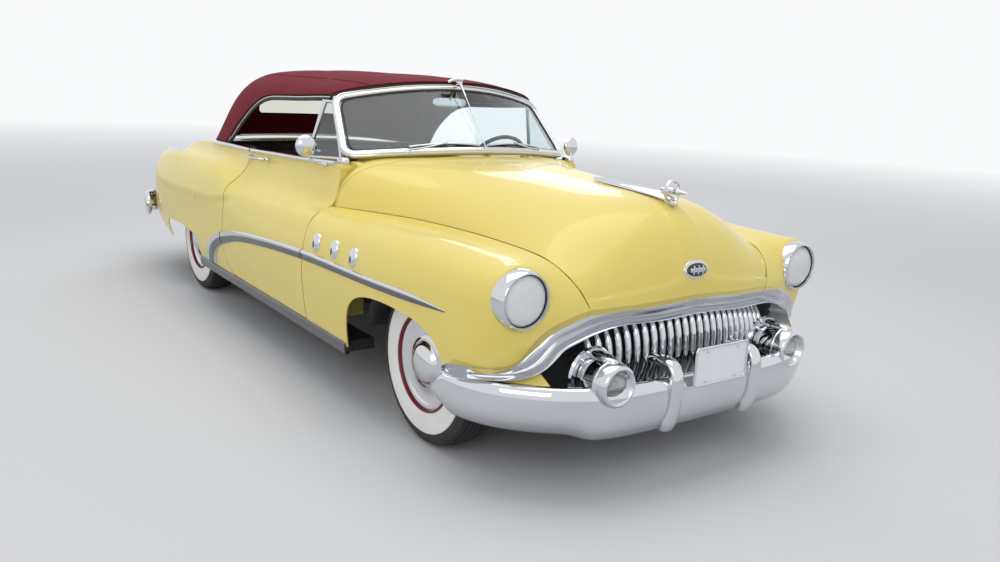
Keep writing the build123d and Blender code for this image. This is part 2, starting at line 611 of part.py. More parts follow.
# Front suspension: crossmember, towers, arms and springs, held still
KNUCKLE_HALF_HEIGHT = 105
with BuildPart() as front_suspension:
    with Locations((FRONT_AXLE_X, (RAIL_Y - RAIL_HALF_WIDTH) / 2, 270)):
        Box(150, RAIL_Y - RAIL_HALF_WIDTH, 90)
    with Locations((FRONT_AXLE_X, RAIL_Y + RAIL_HALF_WIDTH + 20, 355)):
        Box(100, 40, 270)
    for z in (TYRE_RADIUS - KNUCKLE_HALF_HEIGHT - SEAT_GAP - 12, TYRE_RADIUS + KNUCKLE_HALF_HEIGHT + SEAT_GAP + 12):
        arm = profile(Plane.XY.offset(z - 12), (FRONT_AXLE_X - 70, RAIL_Y + 40), (FRONT_AXLE_X + 70, RAIL_Y + 40),
                      (FRONT_AXLE_X + 18, KINGPIN_Y + 10), (FRONT_AXLE_X - 18, KINGPIN_Y + 10))
        extrude(arm, amount=24, dir=UP)
    with Locations((FRONT_AXLE_X, KINGPIN_Y - 120, TYRE_RADIUS)):
        Cylinder(42, 230)
    mirror(about=Plane.XZ)
write(front_suspension, "front_suspension")

# Steering knuckles, with the spindle that carries the wheel
SPINDLE_RADIUS = HUB_BORE_RADIUS - SPINDLE_CLEARANCE
with BuildPart() as knuckle_left:
    with Locations((FRONT_AXLE_X, KINGPIN_Y, TYRE_RADIUS)):
        Cylinder(22, 2 * KNUCKLE_HALF_HEIGHT)
    with BuildSketch(Plane.XZ.offset(-HUB_Y)):
        with Locations((FRONT_AXLE_X, TYRE_RADIUS)):
            Circle(SPINDLE_RADIUS)
    extrude(amount=SPINDLE_LENGTH, dir=LEFT)
    with BuildSketch(Plane.XZ.offset(-HUB_Y)):
        with Locations((FRONT_AXLE_X, TYRE_RADIUS)):
            Circle(95)
    extrude(amount=8, dir=LEFT)
write(knuckle_left, "knuckle_left")
mirrored(knuckle_left, "knuckle_right")

# Rear axle with its torque tube and springs
TUBE_END_X = -95.3
with BuildPart() as rear_axle:
    with BuildSketch(Plane.XZ):
        with Locations((REAR_AXLE_X, TYRE_RADIUS)):
            Circle(38)
    extrude(amount=HUB_Y, dir=LEFT, both=True)
    with BuildSketch(Plane.XZ):
        with Locations((REAR_AXLE_X, TYRE_RADIUS)):
            Circle(SPINDLE_RADIUS)
    extrude(amount=HUB_Y + SPINDLE_LENGTH, dir=LEFT, both=True)
    with BuildSketch(Plane.XZ):
        with Locations((REAR_AXLE_X, TYRE_RADIUS)):
            Circle(125)
    extrude(amount=90, dir=LEFT, both=True)
    with BuildSketch(Plane.YZ.offset(REAR_AXLE_X + 60)):
        with Locations((0, TYRE_RADIUS - 86)):
            Circle(36)
    extrude(amount=TUBE_END_X - REAR_AXLE_X - 60, dir=FORWARD)
    for side in (-1, 1):
        with BuildSketch(Plane.XZ.offset(-side * HUB_Y)):
            with Locations((REAR_AXLE_X, TYRE_RADIUS)):
                Circle(135)
        extrude(amount=8, dir=(0, side, 0))
        with Locations((REAR_AXLE_X, side * RAIL_Y, 435)):
            Cylinder(50, 90)
write(rear_axle, "rear_axle")

# Tyres and wheels, made about the Y axis and placed at the four corners
RIM_HALF = 78
with BuildPart(mode=Mode.PRIVATE) as tyre:
    half = TYRE_WIDTH / 2
    ring = profile(Plane.XY, (-RIM_HALF, RIM_RADIUS), (RIM_HALF, RIM_RADIUS), ((half, 285), (70, 344)),
                   ((62, TYRE_RADIUS - 5), (50, TYRE_RADIUS - 1)), ((0, TYRE_RADIUS), (-50, TYRE_RADIUS - 1)),
                   ((-62, TYRE_RADIUS - 5), (-70, 344)), ((-half, 285), (-RIM_HALF, RIM_RADIUS)))
    revolve(ring, axis=Axis.X)
with BuildPart(mode=Mode.PRIVATE) as wheel:
    disc = profile(Plane.XY, (-RIM_HALF, 200), (-RIM_HALF, RIM_RADIUS), (RIM_HALF, RIM_RADIUS), (84, 206),
                   (70, 190), (64, 168), ((82, 140), (92, 96)), (88, 70), ((102, 40), (106, 3)), (106, 0), (60, 0),
                   (60, HUB_BORE_RADIUS), (-60, HUB_BORE_RADIUS), (-60, 70), (-95, 70), (-95, 128), (-20, 132),
                   (0, 150), (40, 180), (-60, 190))
    revolve(disc, axis=Axis.X)
CORNERS = (("front_left", FRONT_AXLE_X, 1), ("front_right", FRONT_AXLE_X, -1),
           ("rear_left", REAR_AXLE_X, 1), ("rear_right", REAR_AXLE_X, -1))
for corner, axle_x, side in CORNERS:
    place = Location((axle_x, side * WHEEL_Y, TYRE_RADIUS), (0, 0, side * 90))
    for source, name in ((tyre, "tyre"), (wheel, "wheel")):
        with BuildPart() as piece:
            add(place * source.part)
        write(piece, f"{name}_{corner}")


def fan(centre_x, x, y):
    """An upright plane through (centre_x, 0) and (x, y), and how far out (x, y) lies on it."""
    out = Vector(x - centre_x, y, 0)
    return Plane(origin=(centre_x, 0, 0), x_dir=out, z_dir=out.cross(Vector(0, 0, 1))), out.length


# Chrome arch over the grille, sweeping out into a wing. Columns: x, y, bottom, top, bulge
ARCH_STATIONS = ((2485, -1, 660, 732, 14), (2480, 240, 652, 722, 14), (2450, 480, 615, 690, 14),
                 (2385, 700, 548, 622, 14), (2290, 870, 488, 545, 12), (2140, 972, 452, 480, 4))
with BuildPart() as grille_bar:
    for x, y, bottom, top, bulge in ARCH_STATIONS:
        plane, out = fan(1750, x, y)
        add(profile(plane, (out - 45, bottom + 6), (out, bottom), ((out + bulge, (bottom + top) / 2), (out, top)),
                    (out - 45, top - 6)))
    loft(ruled=True)
    with Locations((2470, -50, 700)):
        Box(300, 100, 200, mode=Mode.SUBTRACT)
    bracket = profile(Plane.XZ.offset(-130), (WALL_X + SEAT_GAP, 676), (2450, 676), (2450, 704), (WALL_X + SEAT_GAP, 704))
    extrude(bracket, amount=40, dir=LEFT)
    mirror(about=Plane.XZ)
write(grille_bar, "grille_bar")

# Grille: upright teeth between two rails
TOOTH_PITCH = 42
TEETH_EACH_SIDE = 12
with BuildPart() as grille:
    for i in range(-TEETH_EACH_SIDE, TEETH_EACH_SIDE + 1):
        y = i * TOOTH_PITCH
        face = 2480 - 75 * (y / 560)**2
        top = 650 - 64 * (y / 560)**2
        tooth = profile(Plane.XZ.offset(-y), (face - 40, 400), (face - 5, 400), ((face + 6, 520), (face - 25, top)),
                        (face - 45, top))
        extrude(tooth, amount=8, dir=LEFT, both=True)
    for bottom, height in ((392, 20), (520, 14)):
        with BuildSketch(Plane.XY.offset(bottom)):
            with BuildLine():
                ThreePointArc((2372, -560), (2452, 0), (2372, 560))
                Line((2372, 560), (2350, 560))
                ThreePointArc((2350, 560), (2430, 0), (2350, -560))
                Line((2350, -560), (2372, -560))
            make_face()
        extrude(amount=height, dir=UP)
    for side in (-1, 1):
        bracket = profile(Plane.XZ.offset(-side * 190), (WALL_X + SEAT_GAP, 520), (2430, 520), (2430, 534),
                          (WALL_X + SEAT_GAP, 534))
        extrude(bracket, amount=40, dir=(0, side, 0))
write(grille, "grille")

# Front bumper: deep bar that wraps round, two guards and two bomb-shaped lamp pods
BUMPER_PLAN = ((2622, -1), (2612, 400), (2578, 580), (2425, 800), (2245, 938), (2060, 980))
with BuildPart() as front_bumper:
    for x, y in BUMPER_PLAN:
        plane, out = fan(1750, x, y)
        add(profile(plane, (out - BUMPER_DEPTH, BUMPER_BOTTOM_Z), (out - 14, BUMPER_BOTTOM_Z),
                    ((out, (BUMPER_BOTTOM_Z + BUMPER_TOP_Z) / 2), (out - 22, BUMPER_TOP_Z - 12)),
                    (out - 38, BUMPER_TOP_Z)))
    loft(ruled=True)
    with Locations((2600, -50, 350)):
        Box(300, 100, 300, mode=Mode.SUBTRACT)
    guard = profile(Plane.XZ.offset(-GUARD_Y), (2560, 256), (2622, 256), ((FRONT_END_X, 390), (2622, 500)), (2590, 515),
                    (2560, 505))
    extrude(guard, amount=31, dir=LEFT, both=True)
    pod = profile(Plane.XZ.offset(-511), (2460, 462), (2600, 462), (2600, 518), (2575, 532), ((2510, 522), (2460, 484)))
    revolve(pod, axis=Axis((0, 511, 462), FORWARD))
    # Flat bracket for the number plate
    with Locations((2608, 75, 490)):
        Box(40, 150, 150)
    mirror(about=Plane.XZ)
write(front_bumper, "front_bumper")

# Headlamps: bright rings with their buckets, and domed lenses
with BuildPart() as headlamp_rings:
    ring = profile(Plane.XZ.offset(-HEADLAMP_Y), (FENDER_NOSE_X, HEADLAMP_Z + HEADLAMP_RADIUS),
                   ((FENDER_NOSE_X + 16, HEADLAMP_Z + 104), (FENDER_NOSE_X + 6, HEADLAMP_Z + HEADLAMP_GLASS_RADIUS)),
                   (FENDER_NOSE_X - 30, HEADLAMP_Z + HEADLAMP_GLASS_RADIUS), (FENDER_NOSE_X - 60, HEADLAMP_Z + 40),
                   (FENDER_NOSE_X - 60, HEADLAMP_Z), (FENDER_NOSE_X - 66, HEADLAMP_Z),
                   (FENDER_NOSE_X - 66, HEADLAMP_Z + 44), (FENDER_NOSE_X - 32, HEADLAMP_Z + 94.7),
                   (FENDER_NOSE_X, HEADLAMP_Z + 94.7))
    revolve(ring, axis=Axis((0, HEADLAMP_Y, HEADLAMP_Z), FORWARD))
    mirror(about=Plane.XZ)
write(headlamp_rings, "headlamp_rings")
with BuildPart() as headlamp_lenses:
    lens = profile(Plane.XZ.offset(-HEADLAMP_Y), (FENDER_NOSE_X - 8, HEADLAMP_Z),
                   (FENDER_NOSE_X - 8, HEADLAMP_Z + HEADLAMP_GLASS_RADIUS), (FENDER_NOSE_X, HEADLAMP_Z + HEADLAMP_GLASS_RADIUS),
                   ((FENDER_NOSE_X + 18, HEADLAMP_Z + 45), (FENDER_NOSE_X + 24, HEADLAMP_Z + 3)),
                   (FENDER_NOSE_X + 24, HEADLAMP_Z))
    revolve(lens, axis=Axis((0, HEADLAMP_Y, HEADLAMP_Z), FORWARD))
    mirror(about=Plane.XZ)
write(headlamp_lenses, "headlamp_lenses")

# Rear bumper and its guards
REAR_PLAN = ((-2602, -1), (-2596, 420), (-2582, 640), (-2540, 800), (-2425, 936), (-2190, 978))
with BuildPart() as rear_bumper:
    for x, y in REAR_PLAN:
        plane, out = fan(-1750, x, y)
        add(profile(plane, (out - 32, 392), (out - 14, 392), ((out, 470), (out - 14, 548)), (out - 32, 560)))
    loft(ruled=True)
    with Locations((-2560, -50, 470)):
        Box(300, 100, 300, mode=Mode.SUBTRACT)
    guard = profile(Plane.XZ.offset(-360), (-2560, 380), (-2605, 380), ((REAR_END_X, 480), (-2618, 600)), (-2590, 625),
                    (-2560, 610))
    extrude(guard, amount=34, dir=LEFT, both=True)
    mirror(about=Plane.XZ)
write(rear_bumper, "rear_bumper")

# Tail lamps: two bullets on each fender's end
with BuildPart() as tail_lamps:
    for z in (640, 730):
        base = TAIL_X - SKIN
        bullet = profile(Plane.XZ.offset(-740), (base, z), (base, z + 34), (base - 14, z + 34),
                         ((base - 38, z + 22), (base - 50, z + 3)), (base - 50, z))
        revolve(bullet, axis=Axis((0, 740, z), FORWARD))
    mirror(about=Plane.XZ)
write(tail_lamps, "tail_lamps")

# Seats
with BuildPart() as front_seat:
    seat = profile(Plane.XZ, (-250, FLOOR_Z + 10), (230, FLOOR_Z + 10), (270, 560), ((240, 615), (150, 612)), (-190, 560),
                   (-300, 1000), ((-330, 1040), (-380, 1020)), (-330, 480), (-310, 360))
    extrude(seat, amount=640, dir=LEFT, both=True)
write(front_seat, "front_seat")
with BuildPart() as rear_seat:
    seat = profile(Plane.XZ, (-930, 410), (-650, 410), (-610, 560), ((-640, 610), (-720, 612)), (-1000, 590),
                   (-1120, 960), ((-1150, 1000), (-1200, 985)), (-1150, 640), (-1110, 604), (-1040, 604))
    extrude(seat, amount=545, dir=LEFT, both=True)
write(rear_seat, "rear_seat")

# Dashboard, steering column and steering wheel
hub_at = Vector(*STEER_WHEEL_AT)
column_dir = Vector(cos(radians(COLUMN_RAKE)), 0, -sin(radians(COLUMN_RAKE)))
column_plane = Plane(origin=hub_at, x_dir=LEFT, z_dir=column_dir)
with BuildPart() as dashboard:
    dash = profile(Plane.XZ, (660, 1045), (690, 850), (715, 830), (785, 830), (785, 1068), (720, 1070))
    extrude(dash, amount=640, dir=LEFT, both=True)
    with BuildSketch(column_plane):
        Circle(27)
    extrude(amount=600, dir=column_dir, mode=Mode.SUBTRACT)
write(dashboard, "dashboard")
with BuildPart() as steering_column:
    with BuildSketch(column_plane.offset(40.3)):
        Circle(26.7)
    extrude(amount=(784.7 - hub_at.X - 26.7 * sin(radians(COLUMN_RAKE))) / column_dir.X - 40.3, dir=column_dir)
write(steering_column, "steering_column")
with BuildPart() as steering_wheel:
    with Locations(column_plane.location):
        Torus(STEER_WHEEL_RADIUS, 13)
    with BuildSketch(column_plane.offset(-20)):
        Circle(38)
    extrude(amount=60, dir=column_dir)
    with BuildSketch(column_plane.offset(-4)):
        Rectangle(2 * STEER_WHEEL_RADIUS, 26)
    extrude(amount=8, dir=column_dir)
write(steering_wheel, "steering_wheel")

# Exhaust and fuel tank
with BuildPart() as exhaust:
    with BuildLine() as run:
        points = ((1500, 330), (1380, 180), (REAR_AXLE_X + 413, 170), (REAR_AXLE_X + 193, 520),
                  (REAR_AXLE_X - 167, 520), (REAR_AXLE_X - 407, 300), (-2500, 280))
        FilletPolyline(*((x, EXHAUST_Y, z) for x, z in points), radius=70)
    with BuildSketch(Plane(origin=run.line @ 0, z_dir=run.line % 0)):
        Circle(EXHAUST_RADIUS)
    sweep()
    with BuildSketch(Plane.YZ.offset(-300)):
        with Locations((EXHAUST_Y, 182)):
            Circle(34)
    extrude(amount=600, dir=FORWARD)
write(exhaust, "exhaust")
with BuildPart() as fuel_tank:
    with Locations((-2060, (RAIL_Y - ENGINE_HALF_WIDTH) / 2, 375)):
        Box(500, RAIL_Y + ENGINE_HALF_WIDTH - 120, 170)
write(fuel_tank, "fuel_tank")

# Chassis frame: two rails with cross members, ending on the bumpers
RAIL_BOTTOM = 205
with BuildPart() as chassis_frame:
    rail = profile(Plane.XZ.offset(-RAIL_Y + RAIL_HALF_WIDTH), (2590, 262), (2590, 330), (2200, 330), (1950, 315),
                   (1900, 320), (REAR_AXLE_X + 303, 320), (REAR_AXLE_X + 183, 560), (REAR_AXLE_X - 222, 560),
                   (REAR_AXLE_X - 332, 438), (-2575, 440), (-2575, 396), (-2500, 340), (REAR_AXLE_X - 427, 340),
                   (REAR_AXLE_X - 277, 480), (REAR_AXLE_X + 123, 480), (REAR_AXLE_X + 243, RAIL_BOTTOM),
                   (1950, RAIL_BOTTOM), (2200, 262))
    extrude(rail, amount=2 * RAIL_HALF_WIDTH, dir=LEFT)
    cross_members = ((2240, 290, 60), (740, 262, 80), (-50, 262, 80), (REAR_AXLE_X - 377, 435, 44), (-2380, 390, 80))
    for x, z, height in cross_members:
        with Locations((x, RAIL_Y / 2, z)):
            Box(90, RAIL_Y, height)
    mirror(about=Plane.XZ)
    add(front_bumper.part, mode=Mode.SUBTRACT)
    add(rear_bumper.part, mode=Mode.SUBTRACT)
write(chassis_frame, "chassis_frame")
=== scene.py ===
# Dresses the fixed frame of a large two-door convertible: painted panels, bright trim, glass, canvas top,
# cabin, wheels and lamps, with the stage and the camera. Lengths are in metres, +X forward, +Y left, +Z up.
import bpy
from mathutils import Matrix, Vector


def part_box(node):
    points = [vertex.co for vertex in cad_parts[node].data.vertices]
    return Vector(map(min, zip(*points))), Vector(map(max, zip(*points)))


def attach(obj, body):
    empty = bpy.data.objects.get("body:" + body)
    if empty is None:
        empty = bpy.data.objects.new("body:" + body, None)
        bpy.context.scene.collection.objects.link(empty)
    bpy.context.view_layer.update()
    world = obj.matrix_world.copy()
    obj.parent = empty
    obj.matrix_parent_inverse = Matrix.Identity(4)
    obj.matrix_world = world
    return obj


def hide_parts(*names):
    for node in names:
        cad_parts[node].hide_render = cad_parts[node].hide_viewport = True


bl_info = {
    "name": "Two-door convertible",
    "version": (1, 0, 0),
    "blender": (4, 5, 0),
    "location": "View3D > Sidebar > Convertible",
    "description": "Builds a convertible's panels, trim, glass, top and cabin round its fixed frame",
    "category": "Object",
}

from math import cos, pi, radians, sin, tau

import bpy
import numpy as np
from mathutils import Matrix, Vector

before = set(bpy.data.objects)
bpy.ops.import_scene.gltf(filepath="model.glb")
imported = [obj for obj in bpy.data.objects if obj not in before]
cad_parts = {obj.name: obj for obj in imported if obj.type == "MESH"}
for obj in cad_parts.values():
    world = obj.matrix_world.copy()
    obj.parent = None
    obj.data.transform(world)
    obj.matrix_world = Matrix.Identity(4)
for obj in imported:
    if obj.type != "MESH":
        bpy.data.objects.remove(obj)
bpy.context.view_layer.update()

# Places that several pieces share, read from the frame or repeated from the part's own dimensions
WHEEL_Z = sum(corner[2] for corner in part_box("tyre_front_left")) / 2
FRONT_AXLE_X = sum(corner[0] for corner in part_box("tyre_front_left")) / 2
REAR_AXLE_X = sum(corner[0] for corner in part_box("tyre_rear_left")) / 2
WHEEL_Y = sum(corner[1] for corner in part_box("wheel_front_left")) / 2
SKIN = 0.006
DOOR_GAP = 0.008
DOOR_FRONT_X = 0.790
DOOR_REAR_X = -0.395
HOOD_REAR_X = 0.812
TRUNK_FRONT_X = -1.655
TRUNK_REAR_X = -2.455
TAIL_X = -2.470
SILL_Z = 0.322
HEADLAMP_AT = (2.360, 0.798, 0.764)
COLUMN_RAKE = radians(27)
STEERING_AT = (0.470, 0.400, 1.025)

# The camera's place and aim, solved from the photograph
CAMERA_AT = (4.714, -2.627, 1.504)
CAMERA_YAW = radians(143.74)
CAMERA_PITCH = radians(-12.74)
CAMERA_ROLL = radians(3.04)
SENSOR_WIDTH = 36.0
LENS = 0.8561 * SENSOR_WIDTH


class CarSettings(bpy.types.PropertyGroup):
    """Sizes and colours that a user may change."""

    paint: bpy.props.FloatVectorProperty(
        name="Paint", description="Body colour", subtype="COLOR", size=3, default=(0.80, 0.64, 0.155),
        min=0, max=1)
    canvas: bpy.props.FloatVectorProperty(
        name="Canvas", description="Colour of the soft top", subtype="COLOR", size=3,
        default=(0.158, 0.0105, 0.021), min=0, max=1)
    leather: bpy.props.FloatVectorProperty(
        name="Leather", description="Colour of the seats and door trim", subtype="COLOR", size=3,
        default=(0.16, 0.016, 0.020), min=0, max=1)
    rim: bpy.props.FloatVectorProperty(
        name="Rim", description="Colour of the wheels' painted rim", subtype="COLOR", size=3,
        default=(0.16, 0.008, 0.020), min=0, max=1)
    panel_gap: bpy.props.FloatProperty(
        name="Panel gap", description="Gap round the doors and lids", subtype="DISTANCE", default=0.008,
        min=0.004, max=0.012)
    whitewall: bpy.props.FloatProperty(
        name="Whitewall", description="Outer radius of the tyres' white band", subtype="DISTANCE",
        default=0.301, min=0.25, max=0.33)


# Curves and surfaces

def second_slopes(knots, values):
    """A natural cubic's second derivatives: the solution of its tridiagonal system."""
    count = len(knots)
    step = np.diff(knots)
    system = np.eye(count)
    inner = np.arange(1, count - 1)
    system[inner, inner - 1] = step[:-1]
    system[inner, inner] = 2 * (step[:-1] + step[1:])
    system[inner, inner + 1] = step[1:]
    wide = step.reshape(-1, *[1] * (values.ndim - 1))
    right = np.zeros_like(values)
    right[1:-1] = 6 * (np.diff(values[1:], axis=0) / wide[1:] - np.diff(values[:-1], axis=0) / wide[:-1])
    return np.linalg.solve(system, right.reshape(count, -1)).reshape(values.shape)


def cubic(knots, values, at):
    """A natural cubic through values at the knots, read at every number of at."""
    knots, values, at = np.asarray(knots, float), np.asarray(values, float), np.asarray(at, float)
    bend = second_slopes(knots, values)
    k = np.clip(np.searchsorted(knots, at) - 1, 0, len(knots) - 2)
    h = (knots[k + 1] - knots[k]).reshape(-1, *[1] * (values.ndim - 1))
    a = (knots[k + 1] - at).reshape(h.shape) / h
    b = 1 - a
    return a * values[k] + b * values[k + 1] + ((a**3 - a) * bend[k] + (b**3 - b) * bend[k + 1]) * h**2 / 6


def chords(points):
    """Running length along points, from 0."""
    return np.concatenate([[0], np.cumsum(np.linalg.norm(np.diff(points, axis=0), axis=1))])


def curve(points, count):
    """A smooth line through the points, as count points evenly spread along it."""
    points = np.asarray(points, float)
    length = chords(points)
    fine = cubic(length, points, np.linspace(0, length[-1], 12 * len(points)))
    run = chords(fine)
    even = np.linspace(0, run[-1], count)
    return np.stack([np.interp(even, run, fine[:, i]) for i in range(3)], axis=1)


class Skin:
    """A surface through rows of points: a cubic along each column, then a cubic across the columns."""

    def __init__(self, rows, mirrored_columns=False):
        self.stations = np.array([row[0] for row in rows], float)
        net = np.array([[point if len(point) == 3 else (row[0], *point) for point in row[1:]]
                        for row in rows])
        if mirrored_columns:
            net = np.concatenate([net[:, :0:-1] * (1, -1, 1), net], axis=1)
        self.net = net
        steps = np.linalg.norm(np.diff(net, axis=1), axis=2).mean(axis=0)
        self.knots = np.concatenate([[0], np.cumsum(steps)])
        self.knots /= self.knots[-1]

    def sections(self, u):
        """The columns' points at each station of u."""
        order = np.argsort(self.stations)
        return cubic(self.stations[order], self.net[order], u)

    def at(self, u, v):
        """Points at stations u and at places v across, one row of v for all stations or one each."""
        sections = self.sections(np.asarray(u, float))
        v = np.broadcast_to(np.asarray(v, float), (len(sections), np.shape(v)[-1]))
        values = sections.transpose(1, 0, 2)
        bend = second_slopes(self.knots, values)
        k = np.clip(np.searchsorted(self.knots, v.ravel()) - 1, 0, len(self.knots) - 2).reshape(v.shape)
        row = np.arange(len(sections))[:, None]
        h = (self.knots[k + 1] - self.knots[k])[..., None]
        a = (self.knots[k + 1] - v)[..., None] / h
        b = 1 - a
        bent = (a**3 - a) * bend[k, row] + (b**3 - b) * bend[k + 1, row]
        return a * values[k, row] + b * values[k + 1, row] + bent * h**2 / 6

    def reach(self, u, height, start=0.0):
        """How far across, at each station, the surface first comes down to the height."""
        fine = np.linspace(start, 1, 240)
        z = self.at(u, fine)[..., 2]
        height = np.broadcast_to(height, len(z))
        below = z <= height[:, None]
        k = np.where(below.any(axis=1), below.argmax(axis=1), len(fine) - 1)
        k = np.maximum(k, 1)
        row = np.arange(len(z))
        share = np.clip((z[row, k - 1] - height) / np.maximum(z[row, k - 1] - z[row, k], 1e-9), 0, 1)
        return np.where(below.any(axis=1), fine[k - 1] + share * (fine[k] - fine[k - 1]), 1.0)


def between(start, end, count):
    """Values across for each row: an even run from start to end, either of which may vary by row."""
    t = np.linspace(0, 1, count)
    start, end = np.atleast_1d(start)[:, None], np.atleast_1d(end)[:, None]
    return start + (end - start) * t


# Meshes

def quads(rows, columns, wrap_rows=False, wrap_columns=False):
    """Faces of a grid of points, optionally closed in either direction."""
    r = np.arange(rows if wrap_rows else rows - 1)
    c = np.arange(columns if wrap_columns else columns - 1)
    r, c = np.meshgrid(r, c, indexing="ij")
    r2, c2 = (r + 1) % rows, (c + 1) % columns
    return np.stack([r * columns + c, r2 * columns + c, r2 * columns + c2, r * columns + c2],
                    axis=-1).reshape(-1, 4)


def sheet(grid, flip=False, wrap_rows=False, wrap_columns=False):
    """A grid of points as vertices and faces."""
    faces = quads(grid.shape[0], grid.shape[1], wrap_rows, wrap_columns)
    return grid.reshape(-1, 3), faces[:, ::-1] if flip else faces


def mirrored(part):
    """The part's right-hand twin."""
    vertices, faces = part
    return vertices * (1, -1, 1), faces[:, ::-1]


def turn_of(side):
    """What brings a left-hand part to its side: nothing, or the mirror."""
    return mirrored if side == "right" else lambda part: part


def joined(*parts):
    """Several parts as one."""
    vertices, faces, start = [], [], 0
    for v, f in parts:
        vertices.append(v)
        faces.append(f + start)
        start += len(v)
    return np.concatenate(vertices), np.concatenate(faces)


def both(part):
    """A left-hand part with its right-hand twin."""
    return joined(part, mirrored(part))


def piece(name, part, finish, body="root", wall=0, edge=0, sharp=40, replaces=(), smooth=True):
    """A mesh object that rides on a body, with an optional wall inward of its surface and rounded edges."""
    vertices, faces = part
    mesh = bpy.data.meshes.new(name)
    mesh.from_pydata(vertices.tolist(), [],
                     [[i for k, i in enumerate(f) if i not in f[:k]] for f in faces.tolist()])
    mesh.validate()
    mesh.materials.append(finish)
    thing = bpy.data.objects.new(name, mesh)
    bpy.context.scene.collection.objects.link(thing)
    if smooth:
        mesh.shade_smooth()
        mesh.set_sharp_from_angle(angle=radians(sharp))
    if wall:
        shell = thing.modifiers.new("Wall", "SOLIDIFY")
        shell.thickness = wall
        shell.offset = -1
    if edge:
        round_off = thing.modifiers.new("Edge", "BEVEL")
        round_off.width = edge
        round_off.segments = 2
        round_off.limit_method = "ANGLE"
        round_off.angle_limit = radians(50)
        round_off.harden_normals = True
    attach(thing, body)
    if replaces:
        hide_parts(*replaces)
    return thing


def fans(ring_count, first, centre):
    """Triangles, as repeated-corner quads, from a ring of points to a centre."""
    a = np.arange(ring_count)
    b = (a + 1) % ring_count
    return np.stack([first + a, first + b, np.full(ring_count, centre), np.full(ring_count, centre)],
                    axis=-1)


def tube(grid, flip=False):
    """Rings of points as a closed body, each end closed by a fan to its middle."""
    rings, around = grid.shape[:2]
    vertices = np.concatenate([grid.reshape(-1, 3), [grid[0].mean(axis=0), grid[-1].mean(axis=0)]])
    start = fans(around, 0, rings * around)
    end = fans(around, (rings - 1) * around, rings * around + 1)[:, [1, 0, 2, 3]]
    faces = np.concatenate([quads(rings, around, wrap_columns=True), start, end])
    return vertices, faces[:, ::-1] if flip else faces


def solid_of(part):
    """The same part with its faces turned outwards, judged by its signed volume."""
    vertices, faces = part
    a, b, c, d = (vertices[faces[:, i]] for i in range(4))
    volume = (np.cross(a, b) * c).sum() + (np.cross(a, c) * d).sum()
    return (vertices, faces[:, ::-1]) if volume < 0 else part


def turned(outline, at, axis, count=64):
    """An outline of (distance along, radius) pairs carried round an axis through a point."""
    axis = np.array(Vector(axis).normalized())
    side = np.array(Vector(axis).orthogonal().normalized())
    up = np.cross(axis, side)
    outline = np.asarray(outline, float)
    angle = np.linspace(0, tau, count, endpoint=False)
    spoke = np.cos(angle)[:, None] * side + np.sin(angle)[:, None] * up
    grid = np.asarray(at) + outline[:, None, :1] * axis + np.maximum(outline[:, None, 1:], 1e-5) * spoke
    if outline[0].tolist() == outline[-1].tolist():
        return solid_of(sheet(grid[:-1], wrap_rows=True, wrap_columns=True))
    return solid_of(tube(grid))


def slab(front, back):
    """The closed body between two grids of the same size."""
    rows, columns = front.shape[:2]
    index = np.arange(rows * columns).reshape(rows, columns)
    rim = np.concatenate([index[0, :-1], index[:-1, -1], index[-1, :0:-1], index[:0:-1, 0]])
    ahead = np.roll(rim, -1)
    face, far = quads(rows, columns), rows * columns
    edge = np.stack([rim, ahead, ahead + far, rim + far], axis=1)
    vertices = np.concatenate([front.reshape(-1, 3), back.reshape(-1, 3)])
    return solid_of((vertices, np.concatenate([face, face[:, ::-1] + far, edge])))


def looped(path, up, outline):
    """A flat outline carried round a closed path, its second direction along the given ups."""
    ahead = np.roll(path, -1, axis=0) - np.roll(path, 1, axis=0)
    ahead /= np.linalg.norm(ahead, axis=1)[:, None]
    side = np.cross(ahead, np.broadcast_to(up, path.shape))
    side /= np.linalg.norm(side, axis=1)[:, None]
    over = np.cross(side, ahead)
    outline = np.asarray(outline, float)
    grid = path[:, None] + outline[:, :1] * side[:, None] + outline[:, 1:] * over[:, None]
    return solid_of(sheet(grid, wrap_rows=True, wrap_columns=True))


def squared(count, power):
    """A round line from -1 to 1 each way whose power sets how square it is."""
    angle = np.linspace(0, tau, count, endpoint=False)
    line = np.stack([np.cos(angle), np.sin(angle)], axis=1)
    return np.sign(line) * np.abs(line) ** (2 / power)


def facing(place, a, b):
    """Unit normals of the surface place(a, b)."""
    step = 1e-3
    normal = np.cross(place(a + step, b) - place(a - step, b), place(a, b + step) - place(a, b - step))
    return normal / np.linalg.norm(normal, axis=-1, keepdims=True)


def pane(place, edge, thickness, rings=10):
    """A closed thin pane: the surface place(a, b) inside an edge line, given a thickness."""
    share = np.linspace(0.02, 1, rings)[:, None]
    a, b = share * edge[:, 0], share * edge[:, 1]
    middle, normal = place(a, b), facing(place, a, b) * thickness / 2
    return solid_of(tube(np.concatenate([middle + normal, (middle - normal)[::-1]])))


def swept(path, outline, up=(0, 0, 1), scale=None, closed=True):
    """A flat outline of (out, up) pairs carried along a path, upright or about the given up.
    Each point is the path's point plus the outline's parts along the side and up directions."""
    path, outline = np.asarray(path, float), np.asarray(outline, float)
    ahead = np.gradient(path, axis=0)
    ahead /= np.linalg.norm(ahead, axis=1)[:, None]
    side = np.cross(ahead, np.asarray(up, float))
    side /= np.linalg.norm(side, axis=1)[:, None]
    over = np.cross(side, ahead)
    shape = np.broadcast_to(outline, (len(path), *outline.shape[-2:]))
    if scale is not None:
        shape = shape * np.asarray(scale, float).reshape(len(path), 1, -1)
    grid = path[:, None] + shape[..., :1] * side[:, None] + shape[..., 1:] * over[:, None]
    return solid_of(tube(grid)) if closed else sheet(grid)


